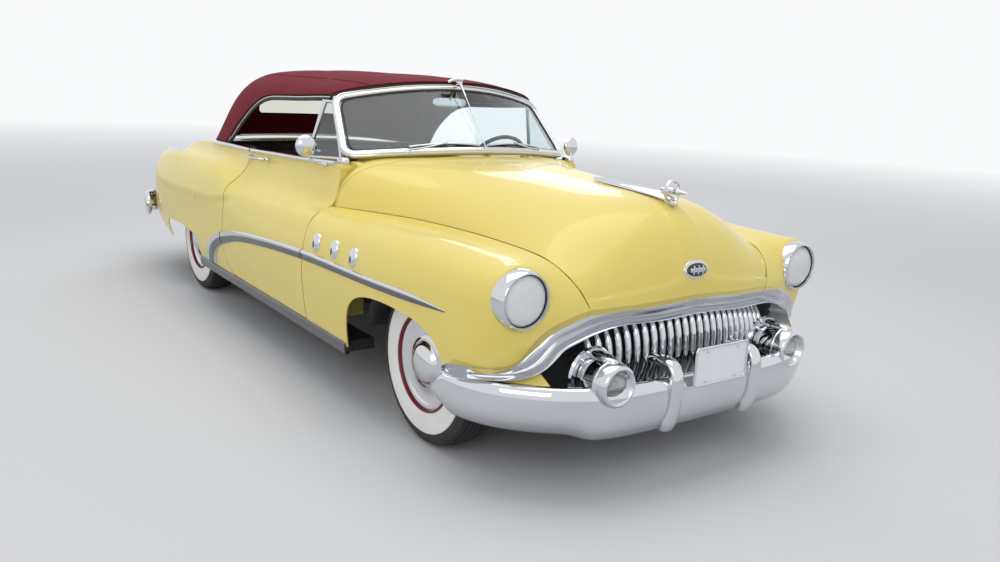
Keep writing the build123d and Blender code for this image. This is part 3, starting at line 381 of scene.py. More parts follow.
def rounded(centre, half, power=4.0, count=(24, 48)):
    """A box with rounded corners: a superellipsoid whose power sets how square it is."""
    polar = np.linspace(-pi / 2, pi / 2, count[0])[:, None]
    round_ = np.linspace(-pi, pi, count[1], endpoint=False)[None]

    def power_of(value):
        return np.sign(value) * np.abs(value) ** (2 / power)

    grid = np.stack([power_of(np.cos(polar)) * power_of(np.cos(round_)),
                     power_of(np.cos(polar)) * power_of(np.sin(round_)),
                     power_of(np.sin(polar)) * np.ones_like(round_)], axis=-1)
    return solid_of(tube(np.asarray(centre) + grid * np.asarray(half)))


def circle(radius, count=16, squash=1.0):
    """A closed round outline, flattened upwards by squash."""
    angle = np.linspace(0, tau, count, endpoint=False)
    return np.stack([radius * np.cos(angle), radius * squash * np.sin(angle)], axis=1)


def smooth_outline(points, count):
    """A closed smooth outline through a few points."""
    points = np.asarray(points, float)
    ring = np.concatenate([points[-2:], points, points[:3]])
    run = chords(ring)
    return cubic(run, ring, np.linspace(run[2], run[2 + len(points)], count, endpoint=False))


# Finishes

def new_finish(name, colour, roughness, metallic=0.0, **sockets):
    """A material with one shader, whose plain values are set on its own sockets."""
    finish = bpy.data.materials.new(name)
    finish.use_nodes = True
    shader = finish.node_tree.nodes["Principled BSDF"]
    shader.inputs["Base Color"].default_value = (*colour, 1)
    shader.inputs["Roughness"].default_value = roughness
    shader.inputs["Metallic"].default_value = metallic
    for socket, value in sockets.items():
        shader.inputs[socket.replace("_", " ")].default_value = value
    return finish


def wire(finish, kind, **inputs):
    """A new node of the finish, with its inputs set or linked."""
    node = finish.node_tree.nodes.new(kind)
    for socket, value in inputs.items():
        put(finish, node.inputs[socket.replace("_", " ")], value)
    return node


def put(finish, socket, value):
    """Links a socket to another, or sets its plain value."""
    if isinstance(value, bpy.types.NodeSocket):
        finish.node_tree.links.new(value, socket)
    else:
        socket.default_value = value


def object_place(finish, scale=(1, 1, 1)):
    """Object coordinates, stretched along each axis."""
    place = wire(finish, "ShaderNodeTexCoord").outputs["Object"]
    return wire(finish, "ShaderNodeMapping", Vector=place, Scale=scale).outputs["Vector"]


def noise(finish, scale, detail=3.0, stretch=(1, 1, 1), roughness=0.5):
    """A cloudy value over the piece."""
    node = wire(finish, "ShaderNodeTexNoise", Vector=object_place(finish, stretch), Scale=scale,
                Detail=detail, Roughness=roughness)
    return node.outputs["Fac"]


def spread(finish, value, low, high, start=0.3, end=0.7):
    """A value mapped to a range."""
    node = wire(finish, "ShaderNodeMapRange", Value=value)
    for socket, number in (("From Min", start), ("From Max", end), ("To Min", low), ("To Max", high)):
        node.inputs[socket].default_value = number
    return node.outputs["Result"]


def blend_colour(finish, value, low, high):
    """A colour between two, by a value."""
    node = finish.node_tree.nodes.new("ShaderNodeMix")
    node.data_type = "RGBA"
    put(finish, node.inputs["Factor"], value)
    node.inputs["A"].default_value = (*low, 1)
    put(finish, node.inputs["B"], (*high, 1))
    return node.outputs["Result"]


def shader_of(finish):
    return finish.node_tree.nodes["Principled BSDF"]


def bump(finish, height, distance, strength=1.0):
    """Fine relief from a height value."""
    node = wire(finish, "ShaderNodeBump", Height=height, Distance=distance, Strength=strength)
    put(finish, shader_of(finish).inputs["Normal"], node.outputs["Normal"])


def vary_colour(finish, value, low, high):
    put(finish, shader_of(finish).inputs["Base Color"], blend_colour(finish, value, low, high))


def vary_roughness(finish, value, low, high):
    put(finish, shader_of(finish).inputs["Roughness"], spread(finish, value, low, high))


def shade(colour, factor):
    return tuple(min(1, channel * factor) for channel in colour)


def paint_finish(name, colour):
    """Old cellulose paint under a polished coat, with a faint unevenness."""
    finish = new_finish(name, colour, 0.42, Coat_Weight=0.55, Coat_Roughness=0.05, Coat_IOR=1.45,
                        Specular_IOR_Level=0.25)
    vary_colour(finish, noise(finish, 1.6, 2), shade(colour, 0.965), shade(colour, 1.03))
    vary_roughness(finish, noise(finish, 9, 4), 0.36, 0.48)
    bump(finish, noise(finish, 14, 1), 0.0004, 0.25)
    return finish


def chrome_finish():
    """Bright plate with a little haze."""
    finish = new_finish("chrome", (0.66, 0.67, 0.69), 0.06, metallic=1.0)
    vary_roughness(finish, noise(finish, 22, 5), 0.025, 0.08)
    vary_colour(finish, noise(finish, 3, 2), (0.62, 0.63, 0.66), (0.71, 0.72, 0.74))
    return finish


def steel_finish():
    """Brushed bright steel for wheel covers and rocker strips."""
    finish = new_finish("steel", (0.66, 0.67, 0.69), 0.16, metallic=1.0)
    vary_roughness(finish, noise(finish, 40, 4), 0.11, 0.22)
    return finish


def canvas_finish(name, colour):
    """Woven canvas: two crossed fine waves, with a faded mottle."""
    finish = new_finish(name, colour, 0.88, Sheen_Weight=0.04, Sheen_Roughness=0.5, Specular_IOR_Level=0.2)
    shader_of(finish).inputs["Sheen Tint"].default_value = (0.75, 0.42, 0.45, 1)
    vary_colour(finish, noise(finish, 5, 5), shade(colour, 0.78), shade(colour, 1.3))
    heights = []
    for axis in ("X", "Y"):
        wave = wire(finish, "ShaderNodeTexWave", Vector=object_place(finish), Scale=160.0, Distortion=0.8,
                    Detail=1.0)
        wave.bands_direction = axis
        heights.append(wave.outputs["Fac"])
    both_ways = finish.node_tree.nodes.new("ShaderNodeMath")
    both_ways.operation = "MAXIMUM"
    for socket, value in zip(both_ways.inputs, heights):
        put(finish, socket, value)
    bump(finish, both_ways.outputs["Value"], 0.0006, 0.6)
    return finish


def leather_finish(name, colour):
    """Leather with a fine grain and worn lighter patches."""
    finish = new_finish(name, colour, 0.5, Coat_Weight=0.12, Coat_Roughness=0.4)
    vary_colour(finish, noise(finish, 7, 4), shade(colour, 0.8), shade(colour, 1.35))
    grain = wire(finish, "ShaderNodeTexVoronoi", Vector=object_place(finish), Scale=320.0)
    bump(finish, grain.outputs["Distance"], 0.0005, 0.4)
    return finish


def rubber_finish():
    """Black rubber, dusty in patches."""
    finish = new_finish("rubber", (0.018, 0.018, 0.019), 0.72)
    vary_colour(finish, noise(finish, 12, 4), (0.013, 0.013, 0.014), (0.035, 0.034, 0.033))
    bump(finish, noise(finish, 300, 2), 0.0003, 0.3)
    return finish


def whitewall_finish():
    """White rubber, faintly grey in patches."""
    finish = new_finish("whitewall", (0.78, 0.76, 0.70), 0.5)
    vary_colour(finish, noise(finish, 16, 5), (0.78, 0.76, 0.72), (0.92, 0.90, 0.87))
    bump(finish, noise(finish, 260, 2), 0.0002, 0.3)
    return finish


def plain_finish(name, colour, roughness, metallic=0.0, patch=0.18, grain=0.0, scale=18, **sockets):
    """A finish with patchy colour and, where asked, a fine grain."""
    finish = new_finish(name, colour, roughness, metallic, **sockets)
    vary_colour(finish, noise(finish, scale, 4), shade(colour, 1 - patch), shade(colour, 1 + patch))
    vary_roughness(finish, noise(finish, scale * 2, 3), max(0.02, roughness * 0.8), min(1, roughness * 1.2))
    if grain:
        bump(finish, noise(finish, 420, 2), grain, 0.5)
    return finish


def carpet_finish():
    """Looped wool: a dense noise as relief."""
    finish = new_finish("carpet", (0.055, 0.010, 0.012), 0.95, Sheen_Weight=0.3)
    vary_colour(finish, noise(finish, 60, 5), (0.03, 0.006, 0.007), (0.085, 0.018, 0.02))
    bump(finish, noise(finish, 900, 2), 0.002, 0.8)
    return finish


def glass_finish(name, tint, roughness=0.0, ribs=0.0, clear=1.0):
    """Clear glass with a tint, ribbed across where asked."""
    finish = new_finish(name, tint, roughness, Transmission_Weight=clear, IOR=1.45)
    vary_roughness(finish, noise(finish, 6, 3), roughness, roughness + 0.02)
    if ribs:
        wave = wire(finish, "ShaderNodeTexWave", Vector=object_place(finish), Scale=ribs, Distortion=0.0)
        wave.bands_direction = "Y"
        bump(finish, wave.outputs["Fac"], 0.0012, 0.6)
    return finish


def core_finish():
    """A radiator's fins: close upright waves on dark metal."""
    finish = new_finish("core", (0.03, 0.03, 0.032), 0.5, metallic=0.5)
    wave = wire(finish, "ShaderNodeTexWave", Vector=object_place(finish), Scale=90.0, Distortion=0.0)
    wave.bands_direction = "Y"
    vary_colour(finish, wave.outputs["Fac"], (0.008, 0.008, 0.009), (0.06, 0.06, 0.062))
    return finish


FINISHES = {}
OWN_FINISHES = {"chrome": chrome_finish, "steel": steel_finish, "carpet": carpet_finish,
                "rubber": rubber_finish, "whitewall": whitewall_finish, "core": core_finish}
# Colour, roughness and the rest of each plain finish, then tint and the rest of each glass
PLAIN_FINISHES = {
    # Lining: its own dark colour, darkened further as painted shade inside the cabin
    "lining": ((0.012, 0.007, 0.008), 0.9, {"grain": 0.0005}),
    "seal": ((0.02, 0.02, 0.02), 0.6, {"grain": 0.0003}),
    # Darkened metal: a painted dark reflection of the ground, partly the spear hollows' own darker colour
    "dark_metal": ((0.16, 0.16, 0.17), 0.22, {"metallic": 0.9, "patch": 0.12}),
    "dark_rim": ((0.035, 0.012, 0.012), 0.2, {"patch": 0.1, "Coat_Weight": 0.6}),
    "frame": ((0.020, 0.020, 0.021), 0.7, {"patch": 0.3, "grain": 0.0006}),
    "cast_iron": ((0.10, 0.13, 0.12), 0.5, {"metallic": 0.3, "patch": 0.25, "grain": 0.0008}),
    "pipe": ((0.20, 0.17, 0.15), 0.55, {"metallic": 0.8, "patch": 0.3, "grain": 0.0006}),
    "black_enamel": ((0.012, 0.012, 0.014), 0.2, {"patch": 0.2, "Coat_Weight": 0.6}),
    "red_enamel": ((0.42, 0.015, 0.02), 0.25, {"patch": 0.1, "Coat_Weight": 0.6}),
    "reflector": ((0.88, 0.89, 0.90), 0.2, {"metallic": 0.75, "patch": 0.03}),
    "plate": ((0.82, 0.83, 0.84), 0.35, {"patch": 0.03, "Coat_Weight": 0.3}),
}
GLASS_FINISHES = {
    "window": ((0.84, 0.94, 0.96), {}),
    "plastic_window": ((0.80, 0.80, 0.72), {"roughness": 0.06}),
    # Headlamp lens: mostly an opaque near-white, partly the fluted glass's haze, partly painted brightness of
    # the lit reflector behind it
    "lens": ((0.97, 0.98, 0.98), {"roughness": 0.03, "ribs": 55.0, "clear": 0.30}),
    "clear_lens": ((0.96, 0.96, 0.94), {"roughness": 0.04, "ribs": 80.0}),
    "red_lens": ((0.75, 0.02, 0.015), {"roughness": 0.04, "ribs": 80.0}),
}


def finish_of(name):
    """The named finish, made the first time that a piece asks for it."""
    if name in FINISHES:
        return FINISHES[name]
    car = bpy.context.scene.convertible
    coloured = {
        "paint": (paint_finish, car.paint),
        "rim": (paint_finish, car.rim),
        "dash": (paint_finish, (0.045, 0.012, 0.014)),
        "canvas": (canvas_finish, car.canvas),
        "canvas_dark": (canvas_finish, shade(tuple(car.canvas), 0.55)),
        "leather": (leather_finish, car.leather),
    }
    if name in coloured:
        maker, colour = coloured[name]
        made = maker(name, tuple(colour))
    elif name in PLAIN_FINISHES:
        colour, roughness, settings = PLAIN_FINISHES[name]
        made = plain_finish(name, colour, roughness, **settings)
    elif name in GLASS_FINISHES:
        tint, settings = GLASS_FINISHES[name]
        made = glass_finish(name, tint, **settings)
    else:
        made = OWN_FINISHES[name]()
    FINISHES[name] = made
    return made


def dress(node, finish):
    """Gives a CAD node, which stays as it is, its finish."""
    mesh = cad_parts[node].data
    mesh.materials.clear()
    mesh.materials.append(finish_of(finish))


def put_on(name, part, finish, **settings):
    """A piece in a named finish."""
    return piece(name, part, finish_of(finish), **settings)


# The body's surfaces. Each row is a station and its points across, as (y, z) there or as (x, y, z)
# Hood columns: centre, brow, shoulder, flank, seam
HOOD = Skin((
    (0.812, (0, 1.142), (0.330, 1.134), (0.610, 1.105), (0.745, 1.020), (0.802, 0.883)),
    (1.000, (0, 1.141), (0.300, 1.130), (0.540, 1.093), (0.662, 1.005), (0.714, 0.883)),
    (1.250, (0, 1.137), (0.260, 1.122), (0.450, 1.070), (0.560, 0.990), (0.616, 0.883)),
    (1.500, (0, 1.128), (0.243, 1.110), (0.412, 1.055), (0.517, 0.976), (0.574, 0.883)),
    (1.750, (0, 1.116), (0.230, 1.097), (0.390, 1.040), (0.495, 0.965), (0.558, 0.883)),
    (1.950, (0, 1.108), (0.224, 1.087), (0.380, 1.029), (0.490, 0.957), (0.566, 0.883)),
    (2.150, (0, 1.094), (0.220, 1.071), (0.375, 1.012), (0.490, 0.946), (0.582, 0.881)),
    (2.270, (2.285, 0, 1.062), (2.282, 0.210, 1.036), (2.275, 0.365, 0.980), (2.265, 0.485, 0.918),
     (2.25, 0.586, 0.868)),
    (2.360, (2.370, 0, 1.005), (2.366, 0.202, 0.978), (2.356, 0.350, 0.928), (2.342, 0.466, 0.875),
     (2.325, 0.573, 0.836)),
    (2.450, (2.425, 0, 0.920), (2.420, 0.194, 0.898), (2.408, 0.336, 0.862), (2.392, 0.448, 0.828),
     (2.375, 0.553, 0.795)),
    (2.540, (2.452, 0, 0.825), (2.447, 0.186, 0.812), (2.435, 0.322, 0.788), (2.420, 0.430, 0.768),
     (2.402, 0.530, 0.748)),
    (2.620, (2.462, 0, 0.724), (2.458, 0.180, 0.721), (2.448, 0.312, 0.713), (2.434, 0.418, 0.703),
     (2.415, 0.510, 0.691)),
), mirrored_columns=True)
HOOD_NOSE = 2.620
# Front fender columns: seam, catwalk, crown, shoulder, side, low, foot
FENDER = Skin((
    (0.800, (0.810, 0.883), (0.838, 0.877), (0.858, 0.868), (0.925, 0.818), (0.972, 0.640), (0.968, 0.470),
     (0.945, 0.300)),
    (1.000, (0.722, 0.883), (0.782, 0.885), (0.832, 0.878), (0.920, 0.830), (0.974, 0.650), (0.969, 0.475),
     (0.946, 0.300)),
    (1.250, (0.624, 0.883), (0.712, 0.891), (0.800, 0.893), (0.905, 0.846), (0.974, 0.660), (0.969, 0.480),
     (0.947, 0.300)),
    (1.500, (0.582, 0.883), (0.692, 0.893), (0.796, 0.901), (0.905, 0.856), (0.972, 0.675), (0.968, 0.490),
     (0.948, 0.300)),
    (1.773, (0.566, 0.883), (0.680, 0.895), (0.795, 0.905), (0.905, 0.860), (0.966, 0.690), (0.964, 0.500),
     (0.948, 0.300)),
    (1.950, (0.574, 0.883), (0.686, 0.894), (0.797, 0.901), (0.903, 0.856), (0.958, 0.695), (0.957, 0.510),
     (0.944, 0.330)),
    (2.110, (0.587, 0.882), (0.693, 0.891), (0.800, 0.895), (0.900, 0.850), (0.948, 0.700), (0.948, 0.540),
     (0.940, 0.410)),
    (2.200, (0.592, 0.876), (0.695, 0.886), (0.800, 0.892), (0.896, 0.848), (0.940, 0.700), (0.940, 0.560),
     (0.930, 0.462)),
    (2.290, (2.285, 0.588, 0.857), (2.288, 0.688, 0.870), (2.290, 0.799, 0.889), (2.290, 0.890, 0.846),
     (2.285, 0.928, 0.718), (2.272, 0.924, 0.585), (2.252, 0.908, 0.474)),
    (2.370, (2.345, 0.572, 0.822), (2.343, 0.675, 0.828), (2.335, 0.798, 0.884), (2.332, 0.882, 0.842),
     (2.328, 0.912, 0.730), (2.314, 0.903, 0.605), (2.290, 0.880, 0.480)),
    (2.450, (2.385, 0.552, 0.783), (2.378, 0.660, 0.772), (2.352, 0.796, 0.815), (2.350, 0.862, 0.780),
     (2.346, 0.885, 0.700), (2.332, 0.875, 0.590), (2.306, 0.850, 0.486)),
    (2.530, (2.408, 0.534, 0.742), (2.398, 0.642, 0.715), (2.366, 0.770, 0.665), (2.358, 0.822, 0.640),
     (2.350, 0.845, 0.600), (2.340, 0.842, 0.545), (2.322, 0.825, 0.492)),
    (2.610, (2.424, 0.514, 0.700), (2.410, 0.610, 0.672), (2.384, 0.690, 0.622), (2.366, 0.735, 0.568),
     (2.352, 0.765, 0.532), (2.344, 0.780, 0.514), (2.336, 0.795, 0.502)),
))
FENDER_NOSE = 2.610
# Where the rear fender stands proud of the waist: its front edge as (z, x), its lower crease as (x, z)
FENDER_FRONT = ((0.700, -0.330), (0.795, -0.300), (0.865, -0.385), (0.945, -0.600), (1.020, -0.900),
                (1.060, -1.100))
FENDER_CREASE = ((-2.400, 0.690), (-1.720, 0.706), (-1.080, 0.722), (-0.630, 0.736), (-0.300, 0.798),
                 (0.000, 0.830))


class FlankSkin(Skin):
    """The side's skin, moved outwards over the rear fender."""

    def at(self, u, v):
        points = super().at(u, v)
        x, z = points[..., 0], points[..., 2]
        behind = np.interp(z, *zip(*FENDER_FRONT)) - x
        above = z - np.interp(x, *zip(*FENDER_CREASE))
        rise = ease(behind, -0.03, 0.07) * ease(above, -0.030, 0.012) * ease(np.broadcast_to(v, x.shape),
                                                                             0.02, 0.20)
        points[..., 1] += 0.013 * rise * ease(x, -2.42, -2.0)
        return points


# Door and quarter columns: belt, waist, hump, shelf, side, low, foot
FLANK = FlankSkin((
    (0.800, (0.765, 1.083), (0.803, 0.900), (0.850, 0.868), (0.925, 0.818), (0.972, 0.640), (0.968, 0.470),
     (0.945, 0.300)),
    (0.500, (0.771, 1.075), (0.815, 0.905), (0.865, 0.862), (0.930, 0.808), (0.974, 0.640), (0.969, 0.470),
     (0.945, 0.300)),
    (0.200, (0.775, 1.068), (0.825, 0.905), (0.878, 0.856), (0.935, 0.800), (0.975, 0.630), (0.970, 0.465),
     (0.944, 0.300)),
    (-0.100, (0.780, 1.060), (0.833, 0.910), (0.886, 0.858), (0.944, 0.795), (0.976, 0.630), (0.971, 0.465),
     (0.944, 0.300)),
    (-0.400, (0.785, 1.052), (0.843, 0.925), (0.893, 0.880), (0.955, 0.790), (0.977, 0.625), (0.972, 0.460),
     (0.943, 0.300)),
    (-0.600, (0.785, 1.049), (0.838, 0.955), (0.893, 0.928), (0.962, 0.785), (0.978, 0.620), (0.973, 0.455),
     (0.942, 0.300)),
    (-0.800, (0.782, 1.046), (0.832, 0.968), (0.892, 0.945), (0.966, 0.785), (0.978, 0.610), (0.973, 0.450),
     (0.942, 0.300)),
    (-1.313, (0.745, 1.035), (0.808, 0.955), (0.874, 0.950), (0.962, 0.780), (0.974, 0.590), (0.968, 0.440),
     (0.940, 0.300)),
    (-1.600, (0.718, 1.015), (0.795, 0.940), (0.864, 0.940), (0.950, 0.770), (0.964, 0.570), (0.955, 0.430),
     (0.924, 0.312)),
    (-1.850, (0.690, 0.990), (0.783, 0.922), (0.850, 0.924), (0.938, 0.755), (0.950, 0.560), (0.938, 0.430),
     (0.903, 0.328)),
    (-2.100, (0.658, 0.945), (0.762, 0.898), (0.830, 0.902), (0.912, 0.735), (0.922, 0.545), (0.908, 0.430),
     (0.872, 0.350)),
    (-2.250, (0.635, 0.900), (0.742, 0.874), (0.805, 0.878), (0.878, 0.718), (0.890, 0.540), (0.878, 0.440),
     (0.848, 0.375)),
    (-2.360, (0.616, 0.855), (0.718, 0.848), (0.775, 0.850), (0.842, 0.705), (0.855, 0.540), (0.845, 0.450),
     (0.820, 0.400)),
    (-2.440, (0.604, 0.815), (0.700, 0.820), (0.752, 0.818), (0.806, 0.695), (0.818, 0.545), (0.808, 0.460),
     (0.790, 0.420)),
    (-2.475, (0.600, 0.790), (0.680, 0.796), (0.726, 0.790), (0.766, 0.690), (0.776, 0.550), (0.768, 0.470),
     (0.755, 0.435)),
))
# Deck columns: centre, two points out, edge by the quarter
DECK = Skin((
    (-1.330, (0, 1.056), (0.260, 1.054), (0.480, 1.048), (0.610, 1.042), (0.733, 1.034)),
    (-1.655, (0, 1.044), (0.260, 1.040), (0.480, 1.030), (0.600, 1.018), (0.702, 1.008)),
    (-1.900, (0, 1.003), (0.260, 0.998), (0.470, 0.985), (0.590, 0.974), (0.675, 0.975)),
    (-2.200, (0, 0.902), (0.250, 0.896), (0.440, 0.885), (0.550, 0.880), (0.634, 0.908)),
    (-2.380, (0, 0.770), (0.240, 0.764), (0.420, 0.755), (0.520, 0.755), (0.604, 0.840)),
    (-2.470, (0, 0.605), (0.230, 0.602), (0.400, 0.598), (0.500, 0.610), (0.590, 0.780)),
), mirrored_columns=True)

# Wheel arches as seen from the side, as (x, z) from front to rear
FRONT_ARCH = ((2.121, 0.300), (2.112, 0.380), (2.098, 0.430), (2.062, 0.490), (2.005, 0.545),
              (1.920, 0.580), (1.800, 0.597), (1.660, 0.602), (1.520, 0.595), (1.420, 0.575),
              (1.345, 0.540), (1.292, 0.480), (1.270, 0.410), (1.262, 0.290))
REAR_ARCH = ((-0.925, 0.290), (-0.928, 0.380), (-0.945, 0.420), (-0.985, 0.446), (-1.060, 0.462),
             (-1.200, 0.472), (-1.320, 0.475), (-1.450, 0.472), (-1.580, 0.466), (-1.650, 0.452),
             (-1.690, 0.425), (-1.703, 0.380),
             (-1.706, 0.300))
# The door's lower rear corner from the side
DOOR_CORNER = ((-0.395, 0.520), (-0.385, 0.450), (-0.360, 0.390), (-0.315, 0.345), (-0.245, 0.322))


def arch_points(points, count=70):
    """A smooth line through an arch's points in the side view, with x falling or rising throughout."""
    line = curve([(x, 0, z) for x, z in points], count)[:, [0, 2]]
    return line[np.argsort(line[:, 0])]


def trimmed(skin, stations, top, foot_cut, across=46):
    """The skin's points from a top line across down to a cut height that varies along it."""
    bottom = skin.reach(stations, foot_cut, start=0.3)
    return skin.at(stations, between(np.broadcast_to(top, bottom.shape), bottom, across))


def merged_stations(*runs):
    """Stations in order, none closer than a hair to its neighbour."""
    merged = np.sort(np.concatenate(runs))
    return merged[np.concatenate([[True], np.diff(merged) > 2e-4])]


def outward(part, away_from=(0, 0, 0.5)):
    """The part with its faces turned away from a point inside, judged by most of them."""
    vertices, faces = part
    a, b, d = vertices[faces[:, 0]], vertices[faces[:, 1]], vertices[faces[:, 3]]
    normal = np.cross(b - a, d - a)
    middle = vertices[faces].mean(axis=1)
    return (vertices, faces[:, ::-1]) if (normal * (middle - np.asarray(away_from))).sum() < 0 else part


def swell(points, amount):
    """The grid's points moved along its own normals by an amount for each."""
    normal = np.cross(np.gradient(points, axis=0), np.gradient(points, axis=1))
    normal /= np.maximum(np.linalg.norm(normal, axis=2, keepdims=True), 1e-9)
    if (normal[..., 2] * np.abs(normal[..., 2])).sum() < 0:
        normal = -normal
    return points + normal * amount[..., None]


def ease(value, low, high):
    """A smooth step from 0 at low to 1 at high."""
    t = np.clip((value - low) / (high - low), 0, 1)
    return t * t * (3 - 2 * t)


def hood_grid():
    """The hood, with the raised prow that widens into a lip along its lower edge."""
    stations = merged_stations(np.linspace(HOOD_REAR_X, 2.15, 44), np.linspace(2.15, HOOD_NOSE, 50))
    grid = HOOD.at(stations, np.linspace(0, 1, 121))
    y, z = np.abs(grid[..., 1]), grid[..., 2]
    half_width = 0.058 + 0.03 * ease(1.05 - z, 0, 0.25) + 0.50 * ease(0.805 - z, 0, 0.085)
    prow = (1 - ease(y, half_width - 0.016, half_width + 0.034)) * ease(stations, 2.12, 2.30)[:, None]
    return swell(grid, 0.007 * prow)


def windshield_line(y, setback=0.0):
    """The hood's rear edge in plan, curved with the windshield's foot."""
    return 1.010 - setback - 0.198 * (np.abs(y) / 0.775) ** 2.3


def hood_part():
    """The hood's grid with its rear edge drawn forward to the windshield's line."""
    grid = hood_grid()
    ahead = np.maximum(windshield_line(grid[0, :, 1]) - HOOD_REAR_X, 0)[None]
    moved = grid.copy()
    share = np.clip((2.15 - grid[..., 0]) / (2.15 - HOOD_REAR_X), 0, 1)
    x = grid[..., 0] + ahead * share
    stations = np.clip(x, HOOD_REAR_X, None)
    early = grid[:, 0, 0] < 2.149
    fine = HOOD.at(np.linspace(HOOD_REAR_X, 2.15, 200), np.linspace(0, 1, grid.shape[1]))
    for column in range(grid.shape[1]):
        for axis in (1, 2):
            moved[early, column, axis] = np.interp(stations[early, column], fine[:, column, 0],
                                                   fine[:, column, axis])
    moved[early, :, 0] = x[early]
    return outward(sheet(moved))


def cowl_part():
    """The painted cowl from under the windshield to the hood's rear edge, in line with the hood."""
    v = np.linspace(0, 1, 91)
    first = HOOD.at([HOOD_REAR_X], v)[0]
    front = windshield_line(first[:, 1], 0.008)
    foot = GLASS_FOOT[0][0] - (GLASS_FOOT[0][0] - GLASS_FOOT[1][0]) * (first[:, 1] / 0.690) ** 2 - 0.015
    rear = np.where(np.abs(first[:, 1]) < 0.665, foot, 0.803)
    front = np.maximum(front, rear + 0.004)
    x = rear + (front - rear) * np.linspace(0, 1, 16)[:, None]
    fine = HOOD.at(np.linspace(HOOD_REAR_X, 1.05, 120), v)
    grid = np.empty((*x.shape, 3))
    for column in range(len(v)):
        for axis in range(3):
            grid[:, column, axis] = np.interp(x[:, column], fine[:, column, 0], fine[:, column, axis])
    grid[..., 0] = x
    return outward(sheet(grid), (0.9, 0, 0.5))


def fender_part():
    """A front fender, cut over the wheel and along the chrome wing."""
    arch = arch_points(FRONT_ARCH)
    stations = merged_stations(np.linspace(0.800, 2.110, 50), arch[:, 0],
                               np.linspace(2.125, FENDER_NOSE, 40))
    foot = FENDER.at(stations, [1.0])[:, 0, 2]
    inside = (stations > arch[0, 0]) & (stations < arch[-1, 0])
    cut = np.where(inside, np.maximum(np.interp(stations, arch[:, 0], arch[:, 1]), foot), foot)
    grid = trimmed(FENDER, stations, 0.0, cut, 48)
    _, lamp_y, lamp_z = HEADLAMP_AT
    from_lamp = np.hypot(grid[..., 1] - lamp_y, grid[..., 2] - lamp_z)
    grid[..., 0] -= 0.075 * ease(0.1045 - from_lamp, 0, 0.022) * (grid[..., 0] > 2.2)
    return outward(sheet(grid), (1.5, 0.3, 0.5))


def door_part():
    """A door's outer skin, round-cornered at its lower rear."""
    gap = bpy.context.scene.convertible.panel_gap
    corner = arch_points(DOOR_CORNER, 20)
    stations = merged_stations(np.linspace(DOOR_REAR_X, DOOR_FRONT_X, 60), corner[:, 0])
    cut = np.where(stations < corner[-1, 0], np.interp(stations, corner[:, 0], corner[:, 1]),
                   SILL_Z - 0.010 + gap)
    return outward(sheet(trimmed(FLANK, stations, 0.0, cut)), (0.2, 0.3, 0.5))


def door_core(side_inset=0.007):
    """The door's body behind its skin: painted jambs, with the inner face that carries the trim."""
    corner = arch_points(DOOR_CORNER, 20)
    stations = np.linspace(DOOR_REAR_X + 0.002, DOOR_FRONT_X - 0.002, 50)
    low = np.where(stations < corner[-1, 0], np.interp(stations, corner[:, 0], corner[:, 1]) + 0.004,
                   SILL_Z + 0.004)
    outer = trimmed(FLANK, stations, 0.0, low, 30) - (0, side_inset, 0)
    outer[:, 0, 2] -= 0.003
    inner = outer.copy()
    inner[..., 1] = door_inside(outer[..., 2])
    return slab(outer, inner)


def door_inside(z):
    """How far out the doors' inner face lies at height z."""
    return np.interp(z, [0.30, 0.76, 0.90, 1.08], [0.858, 0.858, 0.690, 0.688])


def quarter_part():
    """A quarter panel from behind the door to the tail, with the small corner under the door's curve."""
    arch = arch_points(REAR_ARCH)
    gap = bpy.context.scene.convertible.panel_gap
    front = DOOR_REAR_X - gap
    stations = merged_stations(np.linspace(TAIL_X - 0.005, front, 90), arch[:, 0])
    foot = FLANK.at(stations, [1.0])[:, 0, 2]
    inside = (stations > arch[0, 0]) & (stations < arch[-1, 0])
    cut = np.where(inside, np.maximum(np.interp(stations, arch[:, 0], arch[:, 1]), foot), foot)
    main_part = sheet(trimmed(FLANK, stations, 0.0, cut, 46))
    corner = arch_points(DOOR_CORNER, 20)
    under = np.linspace(front, -0.262, 24)
    height = np.interp(under, corner[:, 0] - gap * 0.7, corner[:, 1] - gap)
    top = FLANK.reach(under, np.maximum(height, 0.303), start=0.3)
    small = sheet(FLANK.at(under, between(top, np.ones_like(top), 8)))
    return outward(joined(main_part, small), (-1.4, 0.3, 0.5))


def deck_grid(front, rear, left, right, count=(50, 70)):
    """The deck's points between two stations and two half widths, each a function of x."""
    stations = np.linspace(rear, front, count[0])
    fine = np.linspace(0, 1, 401)
    lines = DECK.at(stations, fine)
    rows = []
    for k, x in enumerate(stations):
        order = np.argsort(lines[k, :, 1])
        places = np.interp([left(x), right(x)], lines[k, order, 1], fine[order])
        rows.append(places)
    rows = np.array(rows)
    return DECK.at(stations, between(rows[:, 0], rows[:, 1], count[1]))


def lid_half(x):
    """Half the trunk lid's width at x."""
    return 0.600 - 0.090 * (TRUNK_FRONT_X - x) / (TRUNK_FRONT_X - TRUNK_REAR_X)


def lid_part():
    grid = deck_grid(TRUNK_FRONT_X, TRUNK_REAR_X, lambda x: -lid_half(x), lid_half)
    return outward(sheet(grid), (-2, 0, 0.5))


